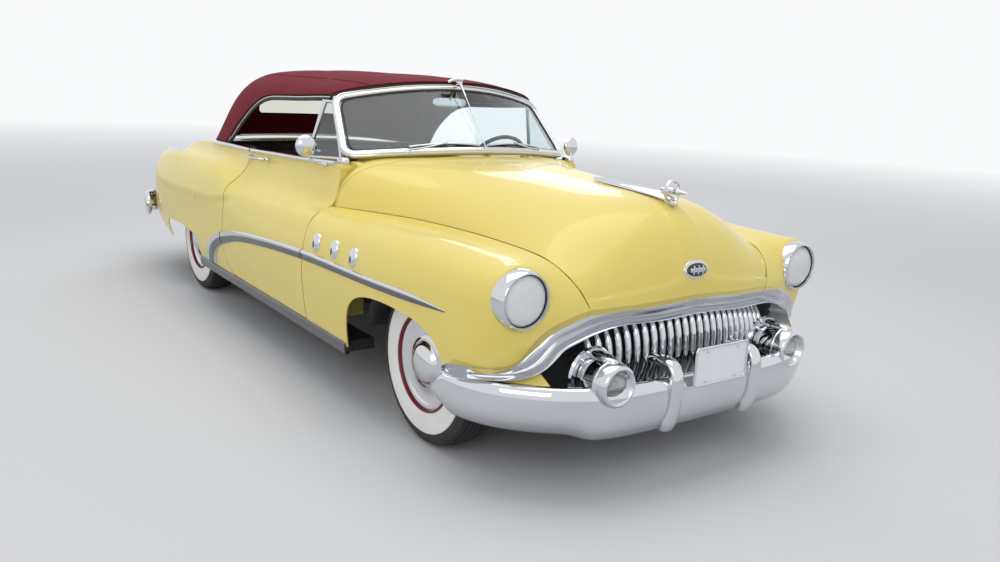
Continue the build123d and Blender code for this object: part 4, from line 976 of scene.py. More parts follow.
def deck_part():
    """The deck round the trunk lid: a strip ahead of it, one each side, and one below."""
    gap = bpy.context.scene.convertible.panel_gap

    def edge(x):
        return np.interp(x, [TAIL_X, -2.2, -1.655, -1.33], [0.592, 0.634, 0.702, 0.733])

    ahead = deck_grid(-1.20, TRUNK_FRONT_X + gap, lambda x: -edge(x), edge, (24, 70))
    side = deck_grid(TRUNK_FRONT_X + gap, TAIL_X, lambda x: lid_half(x) + gap, edge, (60, 14))
    tail = deck_grid(TRUNK_REAR_X - gap, TAIL_X, lambda x: -lid_half(x) - gap, lambda x: lid_half(x) + gap,
                     (6, 70))
    return joined(*(outward(sheet(part), (-2, 0, 0.4)) for part in (ahead, side, side * (1, -1, 1), tail)))


def bead(points, radius, count=90, squash=1.0):
    """A round bead along a smooth line."""
    return swept(curve(points, count), circle(radius, 12, squash))


class CAR_OT_panels(bpy.types.Operator):
    """Painted outer panels"""

    bl_idname = "car.panels"
    bl_label = "Painted panels"

    def execute(self, context):
        put_on("hood_skin", hood_part(), "paint", body="hood", wall=SKIN, edge=0.002, replaces=("hood",))
        put_on("cowl_skin", cowl_part(), "paint", wall=SKIN)
        for side in ("left", "right"):
            turn = turn_of(side)
            put_on(f"fender_skin_{side}", turn(fender_part()), "paint", wall=SKIN, edge=0.002,
                   replaces=(f"front_fender_{side}",))
            put_on(f"door_skin_{side}", turn(door_part()), "paint", body=f"door_{side}", wall=SKIN,
                   edge=0.002, replaces=(f"door_{side}",))
            put_on(f"door_core_{side}", turn(door_core()), "paint", body=f"door_{side}", sharp=35)
            put_on(f"quarter_skin_{side}", turn(quarter_part()), "paint", wall=SKIN, edge=0.002,
                   replaces=(f"quarter_panel_{side}",))
        put_on("trunk_skin", lid_part(), "paint", body="trunk_lid", wall=SKIN, edge=0.002,
               replaces=("trunk_lid",))
        put_on("deck_skin", deck_part(), "paint", wall=SKIN, edge=0.002, replaces=("rear_deck",))
        return {"FINISHED"}


# Wheels

def tyre_parts(at, side):
    """Tyre carcass, tread blocks' rings and the white band, each an outline turned round the axle."""
    white = bpy.context.scene.convertible.whitewall
    axis = (0, side, 0)
    black = [(-0.078, 0.209), (-0.088, 0.235), (-0.095, 0.285), (-0.090, 0.325), (-0.078, 0.344)]
    tread = []
    for k in range(7):
        y = -0.066 + k * 0.022
        tread += [(y - 0.0085, 0.359 - 0.010 * (y / 0.066) ** 2),
                  (y + 0.0085, 0.359 - 0.010 * (y / 0.066) ** 2),
                  (y + 0.0095, 0.350 - 0.008 * (y / 0.066) ** 2)]
    outer = [(0.080, 0.344), (0.091, 0.325), (0.0945, white + 0.003), (0.0935, white), (0.0900, 0.209)]
    inner = [(0.070, 0.205), (-0.070, 0.205)]
    outline = black + tread + outer + inner + black[:1]
    band = [(0.0895, 0.2095), (0.0945, 0.235), (0.0965, 0.262), (0.0965, 0.285), (0.0950, white - 0.001),
            (0.0925, white), (0.088, white - 0.004), (0.086, 0.212), (0.0895, 0.2095)]
    return turned(outline, at, axis, 128), turned(band, at, axis, 128)


def rim_parts(at, side):
    """The painted rim, the bright cover with its domed cap, and the rim's inner barrel."""
    axis = (0, side, 0)
    rim = [(0.093, 0.212), (0.0965, 0.208), (0.096, 0.203), (0.088, 0.199), (0.075, 0.196), (0.060, 0.199),
           (0.060, 0.212), (0.093, 0.212)]
    cover = [(0.066, 0.198), (0.083, 0.1975), (0.0835, 0.192), (0.078, 0.180), (0.072, 0.160),
             (0.070, 0.140), (0.072, 0.120), (0.0765, 0.104), (0.079, 0.100), (0.078, 0.096),
             (0.080, 0.092), (0.092, 0.086),
             (0.104, 0.074), (0.113, 0.056), (0.119, 0.034), (0.1215, 0.012), (0.122, 0.0)]
    barrel = [(0.070, 0.206), (-0.078, 0.206), (-0.084, 0.212), (-0.080, 0.203), (-0.070, 0.195),
              (-0.020, 0.175), (0.040, 0.190), (0.070, 0.200), (0.070, 0.206)]
    return turned(rim, at, axis, 128), turned(cover, at, axis, 128), turned(barrel, at, axis, 96)


class CAR_OT_wheels(bpy.types.Operator):
    """Whitewall tyres, painted rims and bright covers"""

    bl_idname = "car.wheels"
    bl_label = "Wheels"

    def execute(self, context):
        for end, x in (("front", FRONT_AXLE_X), ("rear", REAR_AXLE_X)):
            for hand, side in (("left", 1), ("right", -1)):
                corner = f"{end}_{hand}"
                at, body = (x, side * WHEEL_Y, WHEEL_Z), f"wheel_{corner}"
                tyre, band = tyre_parts(at, side)
                rim, cover, barrel = rim_parts(at, side)
                put_on(f"tyre_rubber_{corner}", tyre, "rubber", body=body, sharp=32,
                       replaces=(f"tyre_{corner}",))
                put_on(f"white_band_{corner}", band, "whitewall", body=body)
                put_on(f"rim_{corner}", rim, "rim", body=body, sharp=50)
                put_on(f"wheel_cover_{corner}", cover, "chrome", body=body, sharp=60,
                       replaces=(f"wheel_{corner}",))
                put_on(f"rim_barrel_{corner}", barrel, "frame", body=body)
        return {"FINISHED"}


# Front end

# The chrome arch over the grille: x, y, bottom, top of its section's face
ARCH = ((2.487, 0.000, 0.664, 0.732), (2.482, 0.240, 0.655, 0.722), (2.456, 0.480, 0.645, 0.713),
        (2.438, 0.560, 0.618, 0.703), (2.424, 0.620, 0.592, 0.682), (2.405, 0.685, 0.550, 0.645),
        (2.389, 0.728, 0.498, 0.596), (2.370, 0.758, 0.474, 0.556), (2.346, 0.795, 0.463, 0.524),
        (2.312, 0.842, 0.457, 0.508), (2.268, 0.890, 0.454, 0.506), (2.205, 0.948, 0.451, 0.508),
        (2.135, 0.982, 0.446, 0.500))
BUMPER = ((2.622, 0.000), (2.620, 0.200), (2.612, 0.400), (2.578, 0.580), (2.512, 0.710), (2.425, 0.815),
          (2.330, 0.895), (2.245, 0.940), (2.150, 0.968), (2.060, 0.980))
BUMPER_FACE = ((-0.052, 0.450), (-0.032, 0.455), (-0.012, 0.441), (-0.002, 0.412), (0.000, 0.378),
               (-0.003, 0.348), (-0.009, 0.328), (-0.020, 0.306), (-0.036, 0.284), (-0.052, 0.268),
               (-0.064, 0.262), (-0.062, 0.300),
               (-0.056, 0.360), (-0.058, 0.420))
TOOTH_PITCH = 0.042
TEETH_EACH_SIDE = 12
POD_AT = (2.594, 0.511, 0.462)
GUARD_Y = 0.231


def full_line(points, count):
    """A left-hand line of points mirrored to the right as one smooth line from right to left."""
    points = np.asarray(points, float)
    right = points[:0:-1] * np.where(np.arange(points.shape[1]) == 1, -1, 1)
    whole = np.concatenate([right, points])
    run = chords(whole[:, :2])
    return cubic(run, whole, np.linspace(0, run[-1], count))


def arch_part():
    """The arch: a thick round-faced bar whose height varies along it, its ends rounded off."""
    line = full_line(ARCH, 181)
    bottom, top = line[:, 2], line[:, 3]
    path = np.stack([line[:, 0], line[:, 1], (bottom + top) / 2], axis=1)
    half = (top - bottom) / 2
    face = smooth_outline([(0.012, 0.0), (0.006, 0.62), (-0.008, 0.96), (-0.040, 1.0), (-0.048, 0.0),
                           (-0.040, -1.0), (-0.010, -0.97), (0.006, -0.62)], 28)
    run = np.linspace(-1, 1, len(path))
    end = np.sqrt(np.clip((1 - np.abs(run)) / 0.035, 0, 1))
    crest = 1 + 0.35 * np.exp(-((path[:, 1] / 0.012) ** 2))
    shape = np.stack([face[None, :, 0] * crest[:, None] * (0.25 + 0.75 * end[:, None]),
                      face[None, :, 1] * half[:, None] * end[:, None]], axis=-1)
    return swept(path, shape)


def bumper_part():
    """The bumper blade: one section carried round its plan, drawn in at the ends."""
    line = full_line([(x, y, 0) for x, y in BUMPER], 161)
    face = smooth_outline(BUMPER_FACE, 40)
    face = face - (0, 0.357)
    path = line + (0, 0, 0.357)
    run = np.linspace(-1, 1, len(path))
    end = 0.30 + 0.70 * np.sqrt(np.clip((1 - np.abs(run)) / 0.05, 0, 1))
    shape = face[None] * np.stack([np.ones_like(end), end], axis=1)[:, None, :]
    dip = 0.028 * ease(0.70 - np.abs(path[:, 1]), 0, 0.14)
    shape[..., 1] -= dip[:, None] * ease(0.02 - shape[..., 1], 0, 0.08)
    return swept(path, shape)


def valance_part():
    """The painted strip between the arch's wing and the bumper, on one side."""
    arch = curve([(x - 0.020, y, bottom + 0.010) for x, y, bottom, _ in ARCH if 0.70 < y < 0.96], 50)
    blade = curve([(x - 0.045, y, 0.440) for x, y in BUMPER if 0.65 < y < 0.96], 50)
    share = np.linspace(0, 1, 12)[:, None, None]
    return outward(sheet(arch * (1 - share) + blade * share), (1.8, 0.3, 0.3))


def teeth_part():
    """The grille's teeth: each a round-fronted bar that bows forward."""
    parts = []
    t = np.linspace(0, 1, 15)
    for k in range(-TEETH_EACH_SIDE, TEETH_EACH_SIDE + 1):
        y = k * TOOTH_PITCH
        back = 0.075 * (y / 0.56) ** 2
        top = 0.668 - 0.074 * (y / 0.56) ** 2
        z = 0.385 + (top - 0.385) * t
        x = 2.452 - back + 0.026 * np.sin(pi * np.clip(t * 1.02, 0, 1)) ** 0.8 - 0.018 * t**6
        path = np.stack([x, np.full_like(x, y), z], axis=1)
        width = 1 - 0.25 * np.abs(2 * t - 1) ** 4
        face = np.array([(0.0125, -0.010), (0.0115, 0.006), (0.0075, 0.014), (0.0, 0.017), (-0.0075, 0.014),
                         (-0.0115, 0.006), (-0.0125, -0.010)])
        parts.append(swept(path, face, up=(1, 0, 0), scale=np.repeat(width, 2).reshape(-1, 2)))
    return joined(*parts)


def pod_parts():
    """One lamp pod: a bomb with a hooded top, a ring round its lamp, and a foot on the bumper."""
    x, y, z = POD_AT
    at = (0, y, z)
    body = [(x - 0.230, 0.0), (x - 0.224, 0.026), (x - 0.205, 0.050), (x - 0.165, 0.071),
            (x - 0.115, 0.083), (x - 0.070, 0.087), (x - 0.035, 0.087), (x - 0.010, 0.084),
            (x + 0.006, 0.079), (x + 0.013, 0.073),
            (x + 0.012, 0.067), (x + 0.002, 0.061), (x - 0.010, 0.055), (x - 0.020, 0.046),
            (x - 0.026, 0.020), (x - 0.027, 0.0)]
    body = curve([(a, r, 0) for a, r in body], 48)[:, :2].clip([x - 0.24, 0], [x + 0.02, 0.09])
    hood = rounded((x - 0.112, y, z + 0.080), (0.095, 0.030, 0.024), 2.6)
    neck = rounded((x - 0.175, y, z + 0.055), (0.075, 0.062, 0.030), 3)
    flange = [(x - 0.168, 0.080), (x - 0.164, 0.108), (x - 0.152, 0.114), (x - 0.142, 0.108),
              (x - 0.144, 0.092), (x - 0.150, 0.078), (x - 0.168, 0.080)]
    foot_line = curve([(x - 0.13, y, z - 0.055), (x - 0.085, y + 0.01, z - 0.075),
                       (x - 0.045, y + 0.02, z - 0.060)], 16)
    foot = swept(foot_line, circle(0.060, 20, 0.42), up=(0, 0, 1))
    ring = [(x - 0.055, 0.0868), (x - 0.050, 0.0900), (x - 0.043, 0.0900), (x - 0.038, 0.0865),
            (x - 0.055, 0.0868)]
    lamp = [(x - 0.024, 0.0), (x - 0.020, 0.050), (x - 0.012, 0.050), (x - 0.003, 0.034), (x, 0.0)]
    axis = (1, 0, 0)
    metal = joined(turned(body, at, axis, 72), hood, neck, foot, turned(flange, at, axis, 64),
                   turned(ring, at, axis, 72))
    return metal, turned(lamp, at, axis, 56)


def guard_part():
    """One bumper guard: an upright round-fronted bar whose head turns back to the grille."""
    path = curve([(2.580, GUARD_Y, 0.250), (2.606, GUARD_Y, 0.310), (2.618, GUARD_Y, 0.400),
                  (2.614, GUARD_Y, 0.465), (2.592, GUARD_Y, 0.497), (2.550, GUARD_Y, 0.506),
                  (2.500, GUARD_Y, 0.503), (2.455, GUARD_Y, 0.488)], 54)
    face = smooth_outline([(0.034, 0.0), (0.031, 0.014), (0.018, 0.022), (0, 0.024), (-0.018, 0.022),
                           (-0.031, 0.014), (-0.034, 0.0), (-0.026, -0.016), (0, -0.020), (0.026, -0.016)],
                           30)
    run = np.linspace(0, 1, len(path))
    wide = 0.92 + 0.25 * np.exp(-(((run - 0.05) / 0.10) ** 2)) - 0.30 * ease(run, 0.75, 1.0)
    return swept(path, face, up=(1, 0, 0.35), scale=np.repeat(wide, 2).reshape(-1, 2))


def headlamp_parts():
    """One headlamp: a deep bright ring, the ribbed lens and the bowl behind it."""
    x, y, z = HEADLAMP_AT
    at, axis = (0, y, z), (1, 0, 0)
    ring = [(x - 0.045, 0.1145), (x - 0.015, 0.1150), (x + 0.010, 0.1130), (x + 0.024, 0.1085),
            (x + 0.031, 0.1030), (x + 0.031, 0.0990), (x + 0.024, 0.0965), (x + 0.010, 0.0960),
            (x - 0.040, 0.1050), (x - 0.045, 0.1145)]
    seal = [(x + 0.012, 0.0970), (x + 0.022, 0.0965), (x + 0.023, 0.0945), (x + 0.012, 0.0940),
            (x + 0.012, 0.0970)]
    lens = [(x + 0.008, 0.0), (x + 0.006, 0.0940), (x + 0.016, 0.0945), (x + 0.029, 0.078),
            (x + 0.037, 0.050), (x + 0.041, 0.0)]
    bowl = [(x - 0.030, 0.0), (x - 0.026, 0.030), (x - 0.010, 0.070), (x + 0.004, 0.0935),
            (x + 0.002, 0.0955), (x - 0.014, 0.072), (x - 0.032, 0.032), (x - 0.036, 0.0)]
    return (turned(ring, at, axis, 96), turned(seal, at, axis, 96), turned(lens, at, axis, 96),
            turned(bowl, at, axis, 72))


def oval(at, half, depth, axis, count=48):
    """A low dome over an oval: its outline shrinks as it rises, by a quarter round."""
    rise = np.linspace(0, pi / 2, 9)
    angle = np.linspace(0, tau, count, endpoint=False)
    axis = Vector(axis).normalized()
    side = Vector((0, 1, 0)) if abs(axis.x) > 0.7 else Vector((1, 0, 0))
    side = (side - axis * side.dot(axis)).normalized()
    up = axis.cross(side)
    rings = [np.stack([half[0] * np.cos(angle), half[1] * np.sin(angle), np.full_like(angle, -0.3 * depth)],
                      axis=1)]
    for r in rise:
        rings.append(np.stack([half[0] * np.cos(r) ** 0.6 * np.cos(angle),
                               half[1] * np.cos(r) ** 0.6 * np.sin(angle),
                               np.full_like(angle, depth * np.sin(r))], axis=1))
    grid = np.array(rings)
    basis = np.array([side, up, axis])
    return solid_of(tube(np.asarray(at) + grid @ basis))


def badge_parts():
    """A plain oval badge on the prow: a bright rim, a dark field and a bright bar."""
    at = np.array((2.462, 0, 0.832))
    axis = Vector((1, 0, 0.22))
    rim = oval(at - (0.006, 0, 0), (0.071, 0.039), 0.010, axis)
    field = oval(at - (0.0005, 0, 0), (0.060, 0.029), 0.007, axis)
    bar = rounded(at + (0.0065, 0, 0), (0.0035, 0.044, 0.009), 5, (12, 24))
    stripes = joined(*(rounded(at + (0.009, k * 0.026, 0.0), (0.003, 0.0035, 0.019), 4,
                               (12, 20)) for k in (-1, 0, 1)))
    return rim, field, joined(bar, stripes)


def ornament_parts():
    """The hood ornament: a ring round a bomb, whose foot runs back as a long low spear."""
    x, z = 2.290, 1.126
    ring = turned([(-0.008, 0.040), (0, 0.034), (0.008, 0.040), (0.007, 0.045), (0, 0.047), (-0.007, 0.045),
                   (-0.008, 0.040)], (x, 0, z), (1, 0, 0), 64)
    bomb = turned([(x - 0.070, 0.0), (x - 0.060, 0.008), (x - 0.030, 0.0135), (x, 0.0145),
                   (x + 0.045, 0.011), (x + 0.075, 0.005), (x + 0.088, 0.0)], (0, 0, z), (1, 0, 0), 32)
    bar = rounded((x, 0, z), (0.010, 0.041, 0.005), 5)
    run = np.linspace(0, 1, 40)
    line = np.stack([1.815 + 0.480 * run, np.zeros_like(run), 1.1235 - 0.026 * run**1.6 - 0.004 * run**8],
                    axis=1)
    width = 0.012 + 0.016 * np.sin(pi * np.clip(run * 0.9, 0, 1)) ** 0.7
    blade = np.array([(1, -0.30), (0.72, 0.12), (0.18, 0.50), (0, 0.62), (-0.18, 0.50), (-0.72, 0.12),
                      (-1, -0.30), (0, -0.5)])
    spear = swept(line, blade[None] * width[:, None, None])
    foot = rounded((x - 0.004, 0, z - 0.048), (0.040, 0.013, 0.016), 2.5)
    return joined(ring, bomb, bar, spear, foot)


def plate_parts():
    """The blank number plate in its bright frame."""
    x, z, half_width, half_height = 2.633, 0.490, 0.150, 0.075
    sheet_part = rounded((x, 0, z), (0.0022, half_width, half_height), 14, (20, 64))
    line = box_line((half_width, half_height), 0.012, 120)
    line = np.stack([np.full(len(line), x + 0.002), line[:, 0], line[:, 1] + z], axis=1)
    frame_part = looped(line, (1, 0, 0), circle(0.0055, 10))
    bolts = joined(*(rounded((x + 0.004, sy * 0.088, z + sz * 0.060), (0.003, 0.006, 0.006), 2.2, (10, 12))
                     for sy in (-1, 1) for sz in (-1, 1)))
    return sheet_part, joined(frame_part, bolts)


class CAR_OT_front_end(bpy.types.Operator):
    """Grille, arch, bumper, pods, headlamps, ornament and badge"""

    bl_idname = "car.front_end"
    bl_label = "Front end"

    def execute(self, context):
        put_on("chrome_arch", arch_part(), "chrome", sharp=50, replaces=("grille_bar",))
        put_on("grille_teeth", teeth_part(), "chrome", sharp=50, replaces=("grille",))
        # A dark wall close behind the teeth: painted shade in the grille's recess
        recess_shade_line = full_line([(2.400, 0, 0), (2.385, 0.25, 0), (2.345, 0.52, 0), (2.290, 0.68, 0),
                             (2.230, 0.76, 0)], 90)
        wall = np.stack([recess_shade_line + (0, 0, z) for z in (0.350, 0.500, 0.600, 0.660)], axis=1)
        wall[:, 3] += (0.045, 0, 0.015)
        put_on("grille_dark", outward(sheet(wall), (0, 0, 0.5)), "frame", wall=0.004)
        put_on("valances", both(valance_part()), "paint", wall=0.004)
        put_on("bumper_blade", bumper_part(), "chrome", sharp=50, replaces=("front_bumper",))
        put_on("bumper_guards", both(guard_part()), "chrome", sharp=50)
        metal, lamp = pod_parts()
        put_on("lamp_pods", both(metal), "chrome", sharp=50)
        put_on("pod_lenses", both(lamp), "clear_lens", sharp=50)
        ring, seal, lens, bowl = headlamp_parts()
        put_on("headlamp_bezels", both(ring), "chrome", sharp=50, replaces=("headlamp_rings",))
        put_on("headlamp_seals", both(seal), "seal")
        put_on("headlamp_glasses", both(lens), "lens", sharp=50, replaces=("headlamp_lenses",))
        put_on("headlamp_bowls", both(bowl), "reflector", sharp=50)
        rim, field, bar = badge_parts()
        put_on("badge_rim", rim, "chrome", body="hood")
        put_on("badge_field", field, "black_enamel", body="hood")
        put_on("badge_bar", bar, "chrome", body="hood")
        put_on("ornament", ornament_parts(), "chrome", body="hood", sharp=40, replaces=("hood_ornament",))
        plate, holder = plate_parts()
        put_on("plate_blank", plate, "plate")
        put_on("plate_frame", holder, "chrome")
        return {"FINISHED"}


# Bright trim along the sides

# The side spear's upper and lower edges from the side, as (x, z)
SPEAR_TOP = ((2.090, 0.674), (1.900, 0.690), (1.500, 0.686), (1.030, 0.682), (0.560, 0.667), (0.110, 0.640),
             (-0.180, 0.611), (-0.400, 0.572))
SPEAR_FOOT = ((2.090, 0.668), (1.900, 0.656), (1.500, 0.643), (1.030, 0.632), (0.560, 0.612),
              (0.110, 0.577), (-0.180, 0.538), (-0.400, 0.485))
SPEAR_DROP_BACK = ((-0.405, 0.571), (-0.530, 0.530), (-0.640, 0.478), (-0.720, 0.410), (-0.765, 0.330))
SPEAR_DROP_FRONT = ((-0.405, 0.483), (-0.480, 0.452), (-0.540, 0.412), (-0.578, 0.368), (-0.592, 0.330))
PORTHOLES = (0.951, 1.149, 1.343)
PORTHOLE_Z = 0.738
BELT = ((0.735, 0.760, 1.090), (0.437, 0.776, 1.078), (0.000, 0.783, 1.066), (-0.400, 0.788, 1.056),
        (-0.887, 0.784, 1.051), (-1.150, 0.765, 1.046), (-1.320, 0.722, 1.050), (-1.470, 0.640, 1.056),
        (-1.578, 0.520, 1.062), (-1.618, 0.360, 1.066), (-1.636, 0.180, 1.068), (-1.640, 0.000, 1.068))


def side_y(x, z):
    """How far out the body's side lies at places (x, z)."""
    x, z = np.broadcast_arrays(np.asarray(x, float), np.asarray(z, float))
    y = np.empty(x.size)
    for skin, chosen in ((FENDER, x.ravel() > 0.795), (FLANK, x.ravel() <= 0.795)):
        if chosen.any():
            u, height = x.ravel()[chosen], z.ravel()[chosen]
            v = skin.reach(u, height, start=0.3)
            y[chosen] = skin.at(u, v[:, None])[:, 0, 1]
    return y.reshape(x.shape)


def strip_between(low, high, across=13):
    """A moulding between two lines on the body's side: a ridge high up, hollow below it."""
    s = np.linspace(0, 1, across)
    x = low[:, :1] + (high[:, :1] - low[:, :1]) * s
    z = low[:, 1:] + (high[:, 1:] - low[:, 1:]) * s
    width = np.linalg.norm(high - low, axis=1)[:, None]
    rise = np.interp(s, [0, 0.06, 0.30, 0.62, 0.74, 0.90, 1], [0, 0.10, 0.11, 0.20, 0.30, 0.24, 0]) * width
    y = side_y(x, z) + np.minimum(rise, 0.016) - 0.0005
    front = np.stack([x, y, z], axis=-1)
    back = front[:, ::-1].copy()
    back[..., 1] = side_y(back[..., 0], back[..., 2]) - 0.003
    # The hollow's sheet, for the darkened finish: a painted dark reflection of the ground, partly the
    # hollow's own darker colour
    hollow = front[:, 1:across // 2 + 2] + (0, 0.0012, 0)
    return solid_of(tube(np.concatenate([front, back], axis=1))), outward(sheet(hollow), (0, 0, 0.5))


def spear_part(start, end, count):
    """The spear between two places along the body."""
    x = np.linspace(start, end, count)
    lines = []
    for table in (SPEAR_FOOT, SPEAR_TOP):
        points = np.array(sorted(table))
        lines.append(np.stack([x, cubic(points[:, 0], points[:, 1], x)], axis=1))
    return strip_between(*lines)


def spear_drop():
    """The spear's sweep down ahead of the rear wheel."""
    low, high = (curve([(x, 0, z) for x, z in table], 40)[:, [0, 2]] for table in (SPEAR_DROP_FRONT,
                                                                                   SPEAR_DROP_BACK))
    return strip_between(low, high)


def belt_part(start, end, count=80):
    """The bright belt between two places along its line, measured by x."""
    line = curve(BELT, 400)
    chosen = line[(line[:, 0] <= start) & (line[:, 0] >= end)]
    chosen = chosen[np.linspace(0, len(chosen) - 1, count).round().astype(int)]
    face = smooth_outline([(0.010, -0.002), (0.007, 0.009), (-0.004, 0.012), (-0.014, 0.008),
                           (-0.016, -0.006), (0, -0.010), (0.009, -0.008)], 18)
    return swept(chosen, face * (-1, 1))


def porthole_parts(x):
    """One porthole: a bright oval boss with a dark oval eye towards its rear."""
    y = float(side_y(x, PORTHOLE_Z))
    axis = Vector((0, 1, 0.18))
    boss = oval((x, y - 0.001, PORTHOLE_Z), (0.038, 0.046), 0.017, axis)
    lip = oval((x - 0.004, y + 0.0125, PORTHOLE_Z - 0.008), (0.013, 0.021), 0.006, axis)
    return boss, lip


def handle_part():
    """A door handle: a slim grip on two feet, with a round push button."""
    line = curve([(-0.375, 0.822, 1.018), (-0.352, 0.852, 1.024), (-0.240, 0.862, 1.029),
                  (-0.130, 0.850, 1.030), (-0.105, 0.824, 1.026)], 40)
    grip = swept(line, circle(0.010, 14, 0.7))
    feet = joined(oval((-0.365, 0.808, 1.018), (0.030, 0.013), 0.012, (0, 1, 0.25)),
                  oval((-0.108, 0.806, 1.026), (0.022, 0.012), 0.012, (0, 1, 0.25)))
    button = turned([(0, 0.0), (0, 0.011), (0.020, 0.011), (0.023, 0.0)], (-0.345, 0.812, 1.019),
                    (0, 1, 0.2), 24)
    return joined(grip, feet, button)


MIRROR_CENTRE = (0.610, 0.872, 1.166)


def mirror_parts():
    """A round mirror: its bright back on a bent arm with a foot, and its glass."""
    x, y, z = MIRROR_CENTRE
    axis = (1, 0.05, 0)
    back = turned([(-0.006, 0.0), (-0.006, 0.053), (-0.002, 0.056), (0.004, 0.0555), (0.014, 0.046),
                   (0.022, 0.028), (0.026, 0.0)], (x, y, z), axis, 56)
    arm = swept(curve([(x + 0.012, y, z - 0.02), (x + 0.012, y - 0.010, z - 0.056),
                       (x + 0.010, y - 0.060, z - 0.090),
                       (x + 0.008, y - 0.088, z - 0.092)], 24), circle(0.0065, 12))
    foot = oval((x + 0.008, y - 0.096, z - 0.092), (0.030, 0.016), 0.012, (0, 0.5, 1))
    glass = turned([(-0.0085, 0.0), (-0.0085, 0.050), (-0.006, 0.051), (-0.006, 0.0)], (x, y, z), axis, 48)
    return joined(back, arm, foot), glass


class CAR_OT_bright_trim(bpy.types.Operator):
    """Side spears, belts, rocker strips, portholes, handles and mirrors"""

    bl_idname = "car.bright_trim"
    bl_label = "Bright trim"

    def execute(self, context):
        rocker = [(x, 0.947, 0.290) for x in np.linspace(-0.915, 1.252, 60)]
        face = smooth_outline([(0.011, 0.010), (0.006, 0.026), (-0.010, 0.028), (-0.012, -0.028),
                               (0.002, -0.030), (0.008, -0.014)], 20) * (-1, 1)
        for side in ("left", "right"):
            turn = turn_of(side)
            door = f"door_{side}"
            runs = (("fender", spear_part(0.801, 2.090, 70), "root"), ("quarter", spear_drop(), "root"),
                    ("door", spear_part(DOOR_REAR_X + 0.002, DOOR_FRONT_X - 0.001, 60), door))
            for place, (bar, hollow), body in runs:
                put_on(f"spear_{place}_{side}", turn(bar), "chrome", body=body)
                # The hollow's sheet in darkened metal: a painted dark reflection of the ground, partly the
                # hollow's own darker colour
                put_on(f"spear_dark_reflection_{place}_{side}", turn(hollow), "dark_metal", body=body, wall=0.001)
            put_on(f"belt_door_{side}", turn(belt_part(0.79, DOOR_REAR_X + 0.002)), "chrome", body=door)
            put_on(f"belt_quarter_{side}", turn(belt_part(DOOR_REAR_X - DOOR_GAP, -1.676, 120)), "chrome")
            # The rocker strip in darkened metal: a painted dark reflection of the ground on its bright steel
            put_on(f"rocker_{side}", turn(swept(rocker, face)), "dark_metal")
            holes = [porthole_parts(x) for x in PORTHOLES]
            put_on(f"portholes_{side}", turn(joined(*(hole[0] for hole in holes))), "chrome")
            put_on(f"porthole_eyes_{side}", turn(joined(*(hole[1] for hole in holes))), "black_enamel")
            put_on(f"handle_{side}", turn(handle_part()), "chrome", body=door)
            head, glass = mirror_parts()
            put_on(f"mirror_{side}", turn(head), "chrome", body=door, replaces=(f"door_mirror_{side}",))
            put_on(f"mirror_glass_{side}", turn(glass), "reflector", body=door)
        return {"FINISHED"}


# Glass

# The windshield's foot and head: x and z at the middle, then x, y and z at the corner
GLASS_FOOT = ((0.930, 1.170), (0.723, 0.690, 1.128))
GLASS_HEAD = ((0.617, 1.488), (0.474, 0.634, 1.408))
GLASS_HALF = (0.690, 0.175)
# A vent window's corners: front foot, front head, rear head, rear foot
VENT_CORNERS = np.array(((0.690, 0.712, 1.104), (0.462, 0.650, 1.384), (0.408, 0.672, 1.388),
                         (0.352, 0.752, 1.084)))
WIPER_PIVOT = (0.866, 0.430, 1.158)


def box_line(half, radius, count=164):
    """An even line round a box with round corners, about the origin."""
    quarter = np.linspace(0, pi / 2, 14)
    corners = []
    for k, (right, up) in enumerate(((1, 1), (-1, 1), (-1, -1), (1, -1))):
        angle = quarter + k * pi / 2
        middle = (right * (half[0] - radius), up * (half[1] - radius))
        corners.append(np.stack([np.cos(angle), np.sin(angle)], axis=1) * radius + middle)
    ring = np.concatenate([*corners, corners[0][:1]])
    run = chords(ring)
    even = np.linspace(0, run[-1], count, endpoint=False)
    return np.stack([np.interp(even, run, ring[:, k]) for k in (0, 1)], axis=1)


def windshield(a, b):
    """A point of the windshield: a from -1 to 1 across, b from -1 at its foot to 1 at its head."""
    a, b = np.broadcast_arrays(np.asarray(a, float), np.asarray(b, float))
    edges = []
    for (middle_x, middle_z), (corner_x, corner_y, corner_z) in (GLASS_FOOT, GLASS_HEAD):
        edges.append(np.stack([middle_x + (corner_x - middle_x) * a**2, corner_y * a,
                               middle_z + (corner_z - middle_z) * a**2], axis=-1))
    share = (b[..., None] + 1) / 2
    return edges[0] * (1 - share) + edges[1] * share


def vent(a, b):
    """A point of a vent window: a from -1 at its rear to 1 at its front, b from its foot to its head."""
    a, b = (np.asarray(a, float)[..., None] + 1) / 2, (np.asarray(b, float)[..., None] + 1) / 2
    front_foot, front_head, rear_head, rear_foot = VENT_CORNERS
    return (rear_foot * (1 - a) + front_foot * a) * (1 - b) + (rear_head * (1 - a) + front_head * a) * b


def moulding(place, edge, face):
    """A closed moulding along an edge line of a surface."""
    return looped(place(edge[:, 0], edge[:, 1]), facing(place, edge[:, 0], edge[:, 1]), face)


def oblong(half_width, half_depth, power=3.0, count=20, shift=(0, 0)):
    """A soft-cornered section."""
    return squared(count, power) * (half_width, half_depth) + shift


def windshield_parts():
    """The pane, its rubber and the bright frame, wider at the pillars than at the head."""
    edge = box_line(GLASS_HALF, 0.048) / GLASS_HALF
    frame_edge = edge * (1.028, 1.0)
    glass = pane(windshield, edge * (1.01, 1.0), 0.006, 16)
    bright = moulding(windshield, frame_edge, oblong(0.021, 0.015, 3.5, 24))
    step = moulding(windshield, frame_edge * (1.006, 1.03), oblong(0.010, 0.021, 2.5, 16))
    seal = moulding(windshield, edge * (0.990, 0.890), oblong(0.0055, 0.008, 3))
    return glass, joined(bright, step), seal


